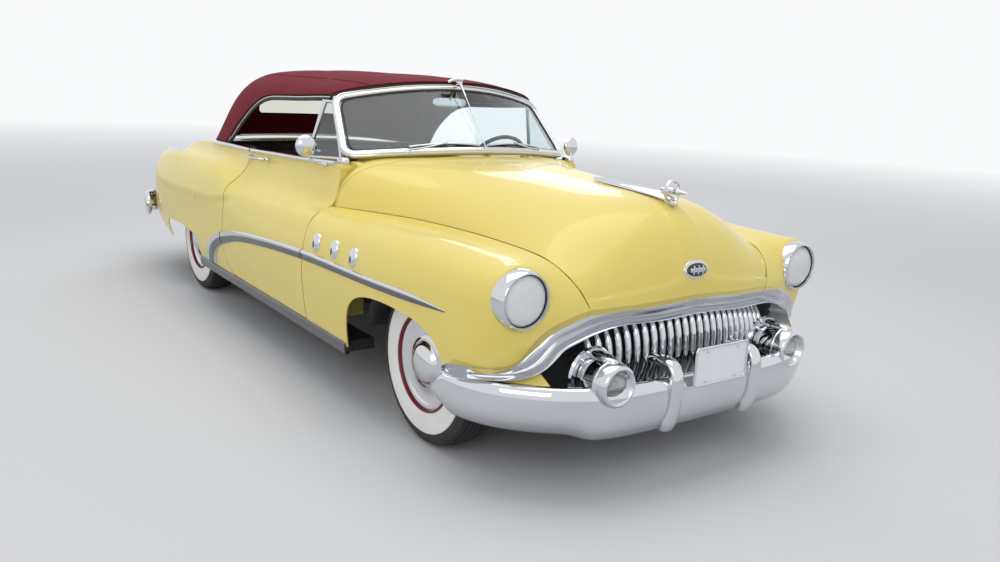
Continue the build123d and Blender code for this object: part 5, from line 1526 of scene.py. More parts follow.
def corner_parts():
    """The windshield's lower corner: the body's painted filler, the door's painted cap and its bright top."""
    base = rounded((0.760, 0.666, 1.050), (0.060, 0.020, 0.050), 4)
    cap = rounded((0.727, 0.736, 1.070), (0.066, 0.032, 0.019), 5)
    bright = rounded((0.752, 0.735, 1.100), (0.041, 0.025, 0.023), 3)
    return base, cap, bright


def vent_parts():
    """A vent window: pane, bright frame and the upright bar behind it."""
    edge = box_line((0.13, 0.15), 0.018, 120) / (0.13, 0.15)
    glass = pane(vent, edge * 0.97, 0.005, 8)
    bright = moulding(vent, edge * (0.98, 0.98), oblong(0.008, 0.010, 3))
    seal = moulding(vent, edge * (0.93, 0.95), oblong(0.004, 0.006, 3))
    bar = swept(curve([(0.345, 0.758, 1.066), (0.372, 0.722, 1.200), (0.398, 0.676, 1.392)], 20),
                oblong(0.010, 0.012, 3), up=(1, 0, 0))
    latch = rounded((0.43, 0.722, 1.125), (0.022, 0.007, 0.007), 3, (12, 20))
    return glass, joined(bright, bar, latch), seal


def wiper_parts():
    """A wiper: pivot, arm and blade lying along the glass's foot."""
    across = np.linspace(0.60, 0.045, 24)
    along = windshield(across, -0.90 + 0.06 * np.sin(pi * np.linspace(0, 1, 24)))
    lift = facing(windshield, across, np.full(24, -0.9)) * 0.012
    blade_line = along + lift
    holder = swept(blade_line + lift * 0.5, oblong(0.004, 0.006, 3), up=(1, 0, 1))
    rubber = swept(blade_line - lift * 0.3, oblong(0.003, 0.006, 3), up=(1, 0, 1))
    pivot = np.array(WIPER_PIVOT)
    arm = swept(curve([pivot + (0, 0, 0.012), pivot + (0.012, -0.09, 0.024),
                       blade_line[12] + (0.010, 0, 0.012)], 24),
                oblong(0.0065, 0.004, 3))
    cap = turned([(-0.012, 0.0), (-0.012, 0.017), (0.004, 0.015), (0.014, 0.009), (0.017, 0.0)], pivot,
                 (0.35, 0, 1), 28)
    return joined(holder, arm, cap), rubber


def aerial_part():
    """The aerial: a bent bracket on the header, with a thin rod lying down the glass."""
    rod = swept(curve([(0.662, 0, 1.520), (0.800, 0, 1.357), (0.940, 0, 1.190)], 30), circle(0.0028, 10))
    sleeve = swept(curve([(0.655, 0, 1.526), (0.690, 0, 1.486), (0.724, 0, 1.446)], 12), circle(0.0055, 12))
    arm = swept(curve([(0.660, -0.075, 1.516), (0.668, -0.045, 1.530), (0.660, 0.012, 1.530)], 16),
                oblong(0.012, 0.008, 3))
    knob = rounded((0.656, 0.0, 1.514), (0.018, 0.018, 0.018), 2.6, (16, 24))
    return joined(rod, sleeve, arm, knob)


def inside_mirror_parts():
    """The mirror inside: its bright back and stem, and its glass towards the driver."""
    back = rounded((0.562, 0, 1.405), (0.008, 0.108, 0.027), 4)
    stem = swept(curve([(0.565, 0, 1.415), (0.590, 0, 1.445), (0.612, 0, 1.472)], 12), circle(0.005, 12))
    return joined(back, stem), rounded((0.5535, 0, 1.405), (0.0015, 0.102, 0.022), 6)


class CAR_OT_glass(bpy.types.Operator):
    """Windshield with its frame, corners, wipers, aerial and inside mirror, and vent windows"""

    bl_idname = "car.glass"
    bl_label = "Glass"

    def execute(self, context):
        glass, bright, seal = windshield_parts()
        put_on("windshield_pane", glass, "window", replaces=("windshield_glass",))
        put_on("windshield_surround", bright, "chrome", sharp=60, replaces=("windshield_frame",))
        put_on("windshield_seal", seal, "seal")
        metal, rubber = wiper_parts()
        put_on("wipers", both(metal), "steel", sharp=50)
        put_on("wiper_blades", both(rubber), "seal")
        put_on("aerial", aerial_part(), "chrome")
        back, mirror = inside_mirror_parts()
        put_on("inside_mirror", back, "chrome")
        put_on("inside_mirror_glass", mirror, "reflector")
        base, cap, bright_cap = corner_parts()
        put_on("pillar_bases", both(base), "paint", sharp=60)
        for side in ("left", "right"):
            turn = turn_of(side)
            put_on(f"door_cap_{side}", turn(cap), "paint", body=f"door_{side}", sharp=60)
            put_on(f"door_cap_top_{side}", turn(bright_cap), "chrome", body=f"door_{side}", sharp=60)
            glass, bright, seal = vent_parts()
            put_on(f"vent_pane_{side}", turn(glass), "window", body=f"door_{side}",
                   replaces=(f"vent_window_{side}",))
            put_on(f"vent_frame_{side}", turn(bright), "chrome", body=f"door_{side}", sharp=50)
            put_on(f"vent_seal_{side}", turn(seal), "seal", body=f"door_{side}")
        return {"FINISHED"}


# Soft top

# Rows from the header to the deck. Columns: centre, crown, rail, side, foot
TOP = Skin((
    (0.652, (0.630, 0, 1.516), (0.600, 0.300, 1.503), (0.520, 0.552, 1.462), (0.472, 0.626, 1.440),
     (0.440, 0.658, 1.422)),
    (0.560, (0.540, 0, 1.529), (0.512, 0.320, 1.515), (0.442, 0.572, 1.468), (0.400, 0.640, 1.442),
     (0.372, 0.672, 1.420)),
    (0.200, (0.190, 0, 1.547), (0.172, 0.330, 1.532), (0.142, 0.592, 1.474), (0.120, 0.660, 1.438),
     (0.105, 0.692, 1.408)),
    (-0.200, (0, 1.554), (0.330, 1.539), (0.598, 1.477), (0.668, 1.433), (0.702, 1.398)),
    (-0.450, (0, 1.556), (0.330, 1.540), (0.600, 1.478), (0.676, 1.426), (0.714, 1.366)),
    (-0.650, (-0.650, 0, 1.556), (-0.650, 0.330, 1.539), (-0.650, 0.598, 1.473), (-0.655, 0.686, 1.392),
     (-0.660, 0.732, 1.268)),
    (-0.800, (-0.800, 0, 1.555), (-0.800, 0.330, 1.537), (-0.800, 0.592, 1.464), (-0.810, 0.694, 1.350),
     (-0.815, 0.752, 1.158)),
    (-0.930, (-0.930, 0, 1.553), (-0.925, 0.328, 1.533), (-0.925, 0.583, 1.450), (-0.925, 0.694, 1.318),
     (-0.935, 0.770, 1.062)),
    (-1.080, (-1.080, 0, 1.547), (-1.070, 0.325, 1.524), (-1.055, 0.570, 1.430), (-1.045, 0.680, 1.300),
     (-1.060, 0.762, 1.052)),
    (-1.200, (-1.200, 0, 1.533), (-1.190, 0.318, 1.507), (-1.160, 0.548, 1.405), (-1.145, 0.656, 1.280),
     (-1.190, 0.746, 1.050)),
    (-1.330, (-1.330, 0, 1.498), (-1.320, 0.300, 1.470), (-1.275, 0.512, 1.370), (-1.255, 0.616, 1.250),
     (-1.320, 0.708, 1.052)),
    (-1.440, (-1.440, 0, 1.432), (-1.430, 0.280, 1.406), (-1.385, 0.468, 1.315), (-1.370, 0.562, 1.208),
     (-1.430, 0.646, 1.056)),
    (-1.530, (-1.530, 0, 1.338), (-1.520, 0.250, 1.316), (-1.482, 0.410, 1.246), (-1.472, 0.488, 1.162),
     (-1.530, 0.560, 1.060)),
    (-1.600, (-1.600, 0, 1.230), (-1.592, 0.210, 1.214), (-1.567, 0.342, 1.172), (-1.562, 0.404, 1.120),
     (-1.598, 0.450, 1.063)),
    (-1.645, (-1.634, 0, 1.138), (-1.630, 0.150, 1.130), (-1.618, 0.244, 1.114), (-1.614, 0.288, 1.092),
     (-1.629, 0.320, 1.065)),
    (-1.671, (-1.639, 0, 1.070), (-1.639, 0.050, 1.070), (-1.638, 0.090, 1.069), (-1.637, 0.120, 1.068),
     (-1.636, 0.150, 1.067)),
), mirrored_columns=True)
TOP_FRONT = 0.652
TOP_REAR = -1.671
WINDOW_REAR_X = -0.935
CANVAS_THICKNESS = 0.003
BOWS = (0.100, -0.450, -1.020)
SEAM_PLACES = (0.215, 0.785)
# The rear window: middle height, then half its width and height
REAR_VIEW_Z = 1.302
REAR_VIEW_HALF = (0.335, 0.082)
REAR_VIEW_POWER = 5.0


def canvas_grid(rows=156, columns=131):
    """The canvas as a grid from the deck to the header, lifted a little over each bow."""
    stations = merged_stations(np.linspace(TOP_REAR, -1.25, rows // 2),
                               np.linspace(-1.25, TOP_FRONT, rows // 2))
    grid = TOP.at(stations, np.linspace(0, 1, columns))
    middle = ease(0.70 - np.abs(grid[..., 1]), 0, 0.15)
    lift = sum(np.exp(-(((grid[..., 0] - x) / 0.035) ** 2)) for x in BOWS)
    grid[..., 2] += 0.0035 * lift * middle
    return grid


def view_share(points):
    """How far a point lies from the rear window's middle, 1 on its edge."""
    y = np.abs(points[..., 1] / REAR_VIEW_HALF[0]) ** REAR_VIEW_POWER
    z = np.abs((points[..., 2] - REAR_VIEW_Z) / REAR_VIEW_HALF[1]) ** REAR_VIEW_POWER
    return (y + z) ** (1 / REAR_VIEW_POWER) + 10 * (points[..., 0] > -1.25)


def canvas_part():
    """The canvas in one piece, with the rear window cut out and its edge drawn smooth."""
    grid = canvas_grid()
    share = view_share(grid)
    near = np.abs(share - 1) < 0.06
    scale = np.where(near, 1 / share, 1)
    grid[..., 1] *= scale
    grid[..., 2] = REAR_VIEW_Z + (grid[..., 2] - REAR_VIEW_Z) * scale
    grid[..., 0] = np.where(near, rear_depth(grid[..., 1], grid[..., 2]), grid[..., 0])
    vertices, faces = sheet(grid)
    middle = vertices[faces].mean(axis=1)
    return outward((vertices, faces[view_share(middle) > 1.0]), (-0.5, 0, 1.1))


def rear_terms(y, z):
    """The terms whose weighted sum gives the canvas's depth at the rear."""
    y, z = np.abs(y), z - REAR_VIEW_Z
    return np.stack([np.ones_like(y), z, z**2, z**3, y**2, y**2 * z, y**2 * z**2, y**4, y**4 * z, y**3],
                    axis=-1)


def rear_depth(y, z):
    """How far back the canvas lies round the rear window, fitted to its surface."""
    grid = TOP.at(np.linspace(-1.62, -1.30, 60), np.linspace(0.1, 0.9, 80)).reshape(-1, 3)
    chosen = grid[view_share(grid) < 1.35]
    weights = np.linalg.lstsq(rear_terms(chosen[:, 1], chosen[:, 2]), chosen[:, 0], rcond=None)[0]
    return rear_terms(np.asarray(y, float), np.asarray(z, float)) @ weights


def rear_view(a, b):
    """A point of the rear window: a across and b up, each from -1 to 1."""
    a, b = np.broadcast_arrays(np.asarray(a, float), np.asarray(b, float))
    y, z = a * REAR_VIEW_HALF[0], REAR_VIEW_Z + b * REAR_VIEW_HALF[1]
    return np.stack([rear_depth(y, z), y, z], axis=-1)


def flat_size(grid):
    """The width and length that the sheet was cut to, along its widest row and its middle."""
    width = max(chords(row)[-1] for row in grid[::6])
    return width, chords(grid[:, grid.shape[1] // 2])[-1]


def top_line(place, start, end, count=120, lift=0.0):
    """A line along the canvas at one place across, lifted off it."""
    stations = np.linspace(start, end, count)
    near = TOP.at(stations, [place - 0.01, place, place + 0.01])
    ahead = np.gradient(near[:, 1], axis=0)
    normal = np.cross(ahead, near[:, 2] - near[:, 0])
    normal *= np.sign((normal * (near[:, 1] - (-0.5, 0, 1.0))).sum(axis=1))[:, None]
    normal /= np.linalg.norm(normal, axis=1)[:, None]
    return near[:, 1] + normal * lift, normal


def bow_part(station):
    """A bow under the canvas, bent to its shape."""
    line = TOP.at([station], np.linspace(0.06, 0.94, 80))[0]
    return swept(line * (1, 0.985, 1) - (0, 0, 0.018), oblong(0.014, 0.006, 3), up=(0, 0, 1))


def side_edge(lift, drop, start=TOP_FRONT - 0.01, end=WINDOW_REAR_X):
    """A line just under the canvas's edge, over the left side window."""
    line, normal = top_line(1.0, start, end, 90, lift)
    inward = np.gradient(line, axis=0)
    down = np.cross(inward, normal)
    down /= np.linalg.norm(down, axis=1)[:, None]
    down *= np.sign((down * (0, 0.3, -1)).sum(axis=1))[:, None]
    return line + down * drop, normal


class CAR_OT_soft_top(bpy.types.Operator):
    """Canvas top with its bindings, seams, bows and rear window"""

    bl_idname = "car.soft_top"
    bl_label = "Soft top"

    def execute(self, context):
        part = canvas_part()
        canvas = put_on("canvas_top", part, "canvas", wall=CANVAS_THICKNESS, sharp=180,
                        replaces=("soft_top",))
        width, length = flat_size(canvas_grid())
        seams = []
        for place in SEAM_PLACES:
            line, normal = top_line(place, TOP_FRONT - 0.004, -1.60, 100, 0.0008)
            seams.append(swept(line, oblong(0.009, 0.0013, 3), up=normal))
        put_on("canvas_seams", joined(*seams), "canvas_dark", sharp=60)
        bindings, rails, seals = [], [], []
        line, normal = side_edge(-0.001, 0.001)
        bindings.append(both(swept(line, oblong(0.005, 0.0035, 2.5), up=normal)))
        line, normal = side_edge(-0.013, 0.004)
        rails.append(both(swept(line, oblong(0.008, 0.006, 2.5), up=normal)))
        line, normal = side_edge(-0.020, 0.014)
        seals.append(both(swept(line, oblong(0.014, 0.007, 2.5), up=normal)))
        front = TOP.at([TOP_FRONT], np.linspace(0, 1, 100))[0]
        bindings.append(swept(front, circle(0.004, 12)))
        # A dark strip under the canvas's front edge: partly its rubber seal, partly a painted shadow gap over
        # the windshield's head
        seals.append(swept(front - (0.010, 0, 0.010), oblong(0.010, 0.007, 2.5)))
        edge = box_line(REAR_VIEW_HALF, 0.045, 160) / REAR_VIEW_HALF
        bindings.append(moulding(rear_view, edge, oblong(0.012, 0.0025, 3, shift=(0, 0.001))))
        put_on("canvas_bindings", joined(*bindings), "canvas_dark", sharp=60)
        put_on("top_rails", joined(*rails), "steel")
        put_on("top_seals", joined(*seals), "seal")
        put_on("top_bows", joined(*(bow_part(x) for x in BOWS)), "dash")
        put_on("rear_pane", pane(rear_view, edge * 0.99, 0.003, 14), "plastic_window",
               replaces=("rear_window",))
        return {"FINISHED"}


# Cabin

RIM_RADIUS = 0.215
DASH = ((0.662, 1.046), (0.664, 1.020), (0.676, 0.940), (0.690, 0.868), (0.708, 0.836), (0.745, 0.832),
        (0.784, 0.840), (0.786, 0.950), (0.785, 1.060), (0.745, 1.070), (0.690, 1.066))
CHANNEL_PITCH = 0.092


def tilted(points, angle, about):
    """Points turned about the car's crosswise axis through a place."""
    about = np.asarray(about, float)
    turn = np.array(((cos(angle), 0, sin(angle)), (0, 1, 0), (-sin(angle), 0, cos(angle))))
    return (points - about) @ turn.T + about


def cushion(centre, half, face, lean=0.0, power=5.0):
    """A stuffed cushion: crowned on its sitting side, pulled in at its sides, with sewn channels.
    face is the axis that the sitting side looks along, 0 for a back and 2 for a seat."""
    vertices, faces = rounded((0, 0, 0), (1, 1, 1), power, (48, 148))
    along = 2 if face == 0 else 0
    crown = (1 - vertices[:, 1] ** 2) * (1 - vertices[:, along] ** 2)
    outer = np.clip(vertices[:, face], 0, 1)
    shape = vertices.copy()
    shape[:, face] *= 1 + 0.22 * crown * outer
    shape[:, 1] *= 1 - 0.025 * (1 - np.clip(np.abs(vertices[:, along]), 0, 1) ** 2)
    shape[:, along] *= 1 - 0.05 * (1 - np.clip(np.abs(vertices[:, 1]), 0, 1) ** 2)
    places = shape * np.asarray(half)
    groove = np.abs(np.cos(pi * places[:, 1] / CHANNEL_PITCH)) ** 24
    inside = ease(0.86 - np.abs(vertices[:, along]), 0, 0.1) * ease(0.94 - np.abs(vertices[:, 1]), 0, 0.04)
    border = np.exp(-(((np.abs(vertices[:, along]) - 0.87) / 0.035) ** 2)) * (np.abs(vertices[:, 1]) < 0.95)
    places[:, face] -= (0.010 * groove * inside + 0.007 * border) * ease(outer, 0.3, 0.8)
    return tilted(places + centre, lean, centre), faces


def on_wheel(path, r, turn):
    """A place on the steering wheel: path along its shaft, r out from it, turn round it."""
    shaft = np.array((-cos(COLUMN_RAKE), 0, sin(COLUMN_RAKE)))
    up = np.array((sin(COLUMN_RAKE), 0, cos(COLUMN_RAKE)))
    return np.asarray(STEERING_AT) + shaft * path + up * r * cos(turn) + np.array((0, 1, 0)) * r * sin(turn)


def ring_outline(radius, thick, along=0.0, squash=1.0, count=16):
    """The closed outline of a ring for turned: a small circle at the ring's radius."""
    dots = circle(thick, count, squash)
    ring = np.concatenate([dots, dots[:1]])
    return [(along + x, radius + y) for x, y in ring.tolist()]


def steering_parts():
    """Rim and spokes, and the bright horn ring with its cap."""
    shaft = (-cos(COLUMN_RAKE), 0, sin(COLUMN_RAKE))
    rim = [turned(ring_outline(RIM_RADIUS, 0.0115), STEERING_AT, shaft, 96)]
    for turn in (radians(95), radians(180), radians(265)):
        line = [on_wheel(path, r, turn) for r, path in ((0.030, -0.020), (0.110, -0.014), (0.206, -0.001))]
        rim.append(swept(curve(line, 16), oblong(0.013, 0.005, 3), up=shaft))
    hub = turned([(-0.060, 0.0), (-0.060, 0.030), (-0.030, 0.038), (-0.016, 0.040), (-0.010, 0.036),
                  (-0.010, 0.0)],
                 STEERING_AT, shaft, 48)
    ring = turned(ring_outline(0.118, 0.0045, 0.004), STEERING_AT, shaft, 72)
    bars = [swept(curve([on_wheel(0.002, r, turn) for r in (0.03, 0.075, 0.118)], 8), circle(0.0045, 10),
                  up=shaft)
            for turn in (radians(90), radians(270))]
    cap = turned([(-0.010, 0.0), (-0.010, 0.036), (0.002, 0.035), (0.012, 0.026), (0.017, 0.012),
                  (0.018, 0.0)],
                 STEERING_AT, shaft, 48)
    return joined(*rim, hub), joined(ring, *bars, cap)


def dash_parts():
    """The dashboard's roll, its bright strips and knobs, and the dark dials with their glasses."""
    face = smooth_outline(DASH, 44)
    roll = swept([(0, y, 0) for y in np.linspace(-0.610, 0.610, 40)], face)
    out = Vector((-1, 0, 0.15))
    bright, dark, glass = [], [], []
    for y, z, radius in ((0.500, 0.962, 0.062), (0.300, 0.962, 0.062), (-0.180, 0.962, 0.042)):
        at = (0.676, y, z)
        bright.append(turned([(-0.004, radius - 0.002), (0.006, radius + 0.006), (0.010, radius + 0.003),
                              (0.008, radius - 0.004), (-0.004, radius - 0.002)], at, out, 56))
        dark.append(turned([(-0.004, 0.0), (-0.004, radius), (0.002, radius), (0.0025, 0.0)], at, out, 48))
        glass.append(turned([(0.005, 0.0), (0.005, radius - 0.003), (0.007, radius - 0.003), (0.007, 0.0)],
                            at, out, 48))
        bright.append(rounded((0.671, y, z + radius * 0.35), (0.0012, 0.002, radius * 0.36), 2, (8, 12)))
    for y in np.linspace(-0.085, 0.085, 11):
        bright.append(rounded((0.668, y + 0.06, 0.965), (0.006, 0.0035, 0.052), 4, (10, 14)))
    for k in range(5):
        bright.append(turned([(0, 0.0), (0, 0.012), (0.010, 0.013), (0.018, 0.010), (0.020, 0.0)],
                             (0.688, -0.03 + 0.045 * k, 0.880), out, 24))
    bright.append(swept([(0.672, y, 1.030) for y in np.linspace(-0.600, 0.600, 30)],
                        oblong(0.004, 0.007, 3)))
    bright.append(rounded((0.672, -0.420, 0.985), (0.008, 0.050, 0.006), 3, (10, 18)))
    dark.append(rounded((0.6745, 0.06, 0.965), (0.004, 0.098, 0.060), 8))
    return roll, joined(*bright), joined(*dark), joined(*glass)


def door_trim_parts():
    """A door's leather panel with its pleats, armrest, and the bright crank and handles."""
    x = np.linspace(DOOR_REAR_X + 0.030, DOOR_FRONT_X - 0.035, 121)[:, None]
    low = np.interp(x, [-0.380, -0.340, -0.280, -0.220], [0.475, 0.418, 0.382, 0.365])
    z = low + (1.020 - low) * np.linspace(0, 1, 26)
    pleat = 0.004 * np.abs(np.sin(pi * x / 0.085)) ** 0.5 * ease(0.73 - z, 0, 0.03) * ease(z, 0.40, 0.43)
    y = door_inside(z) - 0.003 - pleat
    front = np.stack(np.broadcast_arrays(x, y, z), axis=-1)
    back = front + (0, 0.006, 0)
    panel = slab(front, back)
    rest = rounded((0.020, 0.800, 0.715), (0.200, 0.055, 0.026), 4, (24, 48))
    bright = []
    for x_at, z_at, turn in ((0.330, 0.640, 0.5), (0.560, 0.650, -0.9)):
        foot = (x_at, 0.848, z_at)
        bright.append(turned([(0, 0.0), (0, 0.024), (0.010, 0.022), (0.022, 0.011), (0.024, 0.0)], foot,
                             (0, -1, 0), 28))
        tip = np.array(foot) + (0.095 * cos(turn), -0.030, 0.095 * sin(turn))
        bright.append(swept(curve([np.array(foot) - (0, 0.016, 0), (tip + foot) / 2 - (0, 0.010, 0), tip],
                                  12),
                            oblong(0.007, 0.005, 3), up=(0, 1, 0)))
        bright.append(rounded(tip - (0, 0.010, 0), (0.012, 0.016, 0.012), 2.4, (12, 18)))
    for height, rear in ((0.372, -0.235), (0.735, DOOR_REAR_X + 0.03)):
        bright.append(swept([(s, float(door_inside(height)) - 0.008, height)
                             for s in np.linspace(rear, DOOR_FRONT_X - 0.035, 40)],
                             oblong(0.003, 0.006, 3)))
    return panel, rest, joined(*bright)


def quarter_trim_part():
    """The leather panel beside the rear seat, with its ledge out to the belt."""
    rows = []
    for x in np.linspace(-0.410, -1.150, 60):
        top = 1.040
        inner = np.interp(-x, [0.41, 0.70, 0.90, 1.15], [0.700, 0.650, 0.575, 0.560])
        belt = np.interp(-x, [0.41, 0.80, 1.15], [0.772, 0.768, 0.742])
        rows.append([(x, inner, 0.350), (x, inner, 0.700), (x, inner - 0.004, 1.000),
                     (x, inner + 0.006, top - 0.006), (x, inner + 0.020, top), (x, belt, top)])
    return outward(sheet(np.array(rows)), (-0.7, 2.0, 0.6))


def carpet_part():
    """Carpet over the toe board, the floor and up to the rear seat."""
    line = np.array(((0.752, 0.700), (0.752, 0.575), (0.625, 0.352), (0.500, 0.350), (-0.590, 0.350),
                     (-0.640, 0.352)))
    rows = [[(x, y, z) for x, z in line] for y in np.linspace(-0.800, 0.800, 12)]
    hump = np.array(rows)
    rows = np.linspace(0, 1, len(line) * 8 - 7)
    fine = np.array([[np.interp(rows * (len(line) - 1), np.arange(len(line)), row[:, k]) for k in range(3)]
                     for row in hump]).transpose(0, 2, 1)
    fine = np.array([[np.interp(np.linspace(-0.8, 0.8, 81), np.linspace(-0.8, 0.8, 12),
                                fine[:, c, k]) for k in range(3)]
                     for c in range(fine.shape[1])]).transpose(0, 2, 1)
    fine[..., 2] += 0.055 * np.exp(-((fine[..., 1] / 0.13) ** 4)) * (fine[..., 2] < 0.5)
    return outward(sheet(fine), (0, 0, 0.0))


def shelf_part():
    """The trimmed well behind the rear seat, up to the deck."""
    rows = []
    for y in np.linspace(-0.620, 0.620, 40):
        bend = 0.10 * (y / 0.62) ** 2
        rows.append([(-1.175, y, 0.945), (-1.250, y, 0.940), (-1.330 + bend, y, 0.985),
                     (-1.400 + bend, y, 1.040)])
    return outward(sheet(np.array(rows)), (-1.3, 0, 0.0))


def pedal_parts():
    """Two hanging pedals and the throttle."""
    pads = [rounded((0.630, y, 0.445), (0.010, half, 0.030), 4, (12, 20)) for y,
            half in ((0.47, 0.030), (0.36, 0.030),
                                                                                           (0.24, 0.018))]
    arms = [swept(curve([(0.640, y, 0.445), (0.690, y, 0.520), (0.730, y, 0.640)], 12),
                  oblong(0.006, 0.004, 3))
            for y in (0.47, 0.36, 0.24)]
    return joined(*pads), joined(*arms)


class CAR_OT_cabin(bpy.types.Operator):
    """Seats, dashboard, steering wheel, trim and carpet"""

    bl_idname = "car.cabin"
    bl_label = "Cabin"

    def execute(self, context):
        seat = put_on("front_cushion", cushion((-0.005, 0, 0.535), (0.262, 0.630, 0.066), 2, radians(-6)),
                      "leather", sharp=180, replaces=("front_seat",))
        for side, y in (("left", 0.316), ("right", -0.316)):
            back = put_on(f"front_backrest_{side}",
                          cushion((-0.290, y, 0.800), (0.058, 0.306, 0.235), 0, radians(-12)),
                          "leather", sharp=180)
        seat = put_on("rear_cushion", cushion((-0.850, 0, 0.540), (0.225, 0.530, 0.060), 2, radians(-5)),
                      "leather", sharp=180, replaces=("rear_seat",))
        back = put_on("rear_backrest", cushion((-1.090, 0, 0.800), (0.055, 0.530, 0.195), 0, radians(-17)),
                      "leather", sharp=180)
        plinths = joined(rounded((-0.010, 0, 0.415), (0.215, 0.585, 0.058), 10),
                         rounded((-0.84, 0, 0.440), (0.19, 0.52, 0.035), 10),
                         rounded((-0.345, 0, 0.74), (0.018, 0.585, 0.20), 8))
        put_on("seat_plinths", plinths, "dash", sharp=50)
        roll, bright, dark, glass = dash_parts()
        put_on("dash_roll", roll, "dash", sharp=50, replaces=("dashboard",))
        put_on("dash_bright", bright, "chrome", sharp=50)
        put_on("dash_dials", dark, "black_enamel", sharp=50)
        put_on("dash_glasses", glass, "window", sharp=50)
        rim, horn = steering_parts()
        put_on("steering_rim", rim, "dark_rim", body="steering_wheel", replaces=("steering_wheel",))
        put_on("horn_ring", horn, "chrome", body="steering_wheel", sharp=50)
        dress("steering_column", "dash")
        pads, arms = pedal_parts()
        put_on("pedal_pads", pads, "rubber")
        put_on("pedal_arms", arms, "frame")
        for side in ("left", "right"):
            turn = turn_of(side)
            panel, rest, bright = door_trim_parts()
            put_on(f"door_panel_{side}", turn(panel), "leather", body=f"door_{side}", sharp=60)
            put_on(f"armrest_{side}", turn(rest), "leather", body=f"door_{side}")
            put_on(f"door_cranks_{side}", turn(bright), "chrome", body=f"door_{side}", sharp=50)
            put_on(f"quarter_trim_{side}", turn(quarter_trim_part()), "leather", wall=0.006)
        put_on("carpet", carpet_part(), "carpet", wall=0.006)
        put_on("rear_shelf", shelf_part(), "carpet", wall=0.005)
        return {"FINISHED"}


# Rear end

REAR_BUMPER = ((2.602, 0.000), (2.600, 0.200), (2.596, 0.420), (2.582, 0.640), (2.540, 0.800),
               (2.485, 0.885), (2.400, 0.940), (2.300, 0.966), (2.190, 0.978))
REAR_FACE = ((-0.032, 0.560), (-0.018, 0.562), (-0.006, 0.548), (-0.001, 0.515), (0.000, 0.478),
             (-0.005, 0.438), (-0.014, 0.405), (-0.028, 0.392), (-0.036, 0.400), (-0.036, 0.478),
             (-0.036, 0.545))
REAR_MIDDLE_Z = 0.478
REAR_GUARD_Y = 0.360
LAMP_HEIGHTS = (0.640, 0.730)
TRUNK_HINGE_Y = 0.38
LAMP_Y = 0.740
# The line over the tail panel from its middle to its foot at the quarter: y and z
TAIL_TOP = ((0.000, 0.608), (0.500, 0.612), (0.575, 0.700), (0.600, 0.785), (0.680, 0.792), (0.724, 0.786),
            (0.750, 0.740), (0.765, 0.690), (0.774, 0.560), (0.766, 0.480), (0.756, 0.437))
FIN = ((-1.470, 0.9395), (-1.700, 0.945), (-1.950, 0.935), (-2.110, 0.915), (-2.215, 0.897))


def rear_bumper_part():
    """The rear blade, carried round its plan and drawn in at the ends."""
    line = full_line([(x, y, 0) for x, y in REAR_BUMPER], 141) * (-1, 1, 1) + (0, 0, REAR_MIDDLE_Z)
    face = (smooth_outline(REAR_FACE, 36) - (0, REAR_MIDDLE_Z)) * (-1, 1)
    run = np.linspace(-1, 1, len(line))
    end = 0.30 + 0.70 * np.sqrt(np.clip((1 - np.abs(run)) / 0.05, 0, 1))
    return swept(line, face[None] * np.stack([np.ones_like(end), end], axis=1)[:, None, :])


def rear_guard_part():
    """One upright guard on the rear bumper."""
    path = curve([(-2.590, REAR_GUARD_Y, 0.388), (-2.612, REAR_GUARD_Y, 0.440),
                  (-2.618, REAR_GUARD_Y, 0.520),
                  (-2.606, REAR_GUARD_Y, 0.596), (-2.575, REAR_GUARD_Y, 0.616),
                  (-2.555, REAR_GUARD_Y, 0.600)], 36)
    return swept(path, oblong(0.032, 0.020, 2.6, 24), up=(1, 0, -0.2))


def tail_panel_part():
    """The painted panel between the quarters, under the deck, turning forward at its foot."""
    line = curve([(0, y, z) for y, z in TAIL_TOP], 300)
    y = line[:, 1]
    widest = int(y.argmax())
    upper = line[:widest + 1]
    across = np.linspace(-1, 1, 121) * y[widest]
    top = np.interp(np.abs(across), upper[:, 1], upper[:, 2])
    low = np.interp(np.abs(across), line[widest:, 1][::-1], line[widest:, 2][::-1], left=0.437)
    rows = [np.stack([np.full_like(across, TAIL_X + ahead), across * 0.96, top + up], axis=1)
            for ahead, up in ((0.080, 0.075), (0.030, 0.035))]
    for share in np.linspace(0, 1, 24):
        z = top + (low - top) * share
        rows.append(np.stack([TAIL_X - 0.002 - 0.012 * np.sin(pi * share) * (1 - (across / y[widest]) ** 2),
                              across, z], axis=1))
    for ahead, drop in ((0.010, 0.012), (0.030, 0.024), (0.075, 0.030)):
        rows.append(np.stack([np.full_like(across, TAIL_X + ahead), across * (1 - ahead * 0.3), low - drop],
                             axis=1))
    return outward(sheet(np.array(rows)), (-2.2, 0, 0.6))


def tail_lamp_parts():
    """The two lamps of one fender: each a bright bezel, a red bullet and a thin ring round it."""
    bezels, lenses = [], []
    for z in LAMP_HEIGHTS[::-1]:
        at = (TAIL_X - 0.006, LAMP_Y - 0.020, z)
        axis = (-1, 0, 0)
        bezels.append(turned([(-0.010, 0.026), (-0.006, 0.042), (0.006, 0.042), (0.016, 0.037),
                              (0.020, 0.032), (0.014, 0.029), (-0.010, 0.026)], at, axis, 48))
        lenses.append(turned([(0.004, 0.0), (0.006, 0.030), (0.016, 0.0305), (0.030, 0.026), (0.046, 0.015),
                              (0.054, 0.006), (0.056, 0.0)], at, axis, 40))
        bezels.append(turned([(0.028, 0.0265), (0.031, 0.0285), (0.034, 0.0255), (0.030, 0.0235),
                              (0.028, 0.0265)],
                             at, axis, 40))
    return joined(*bezels), joined(*lenses)


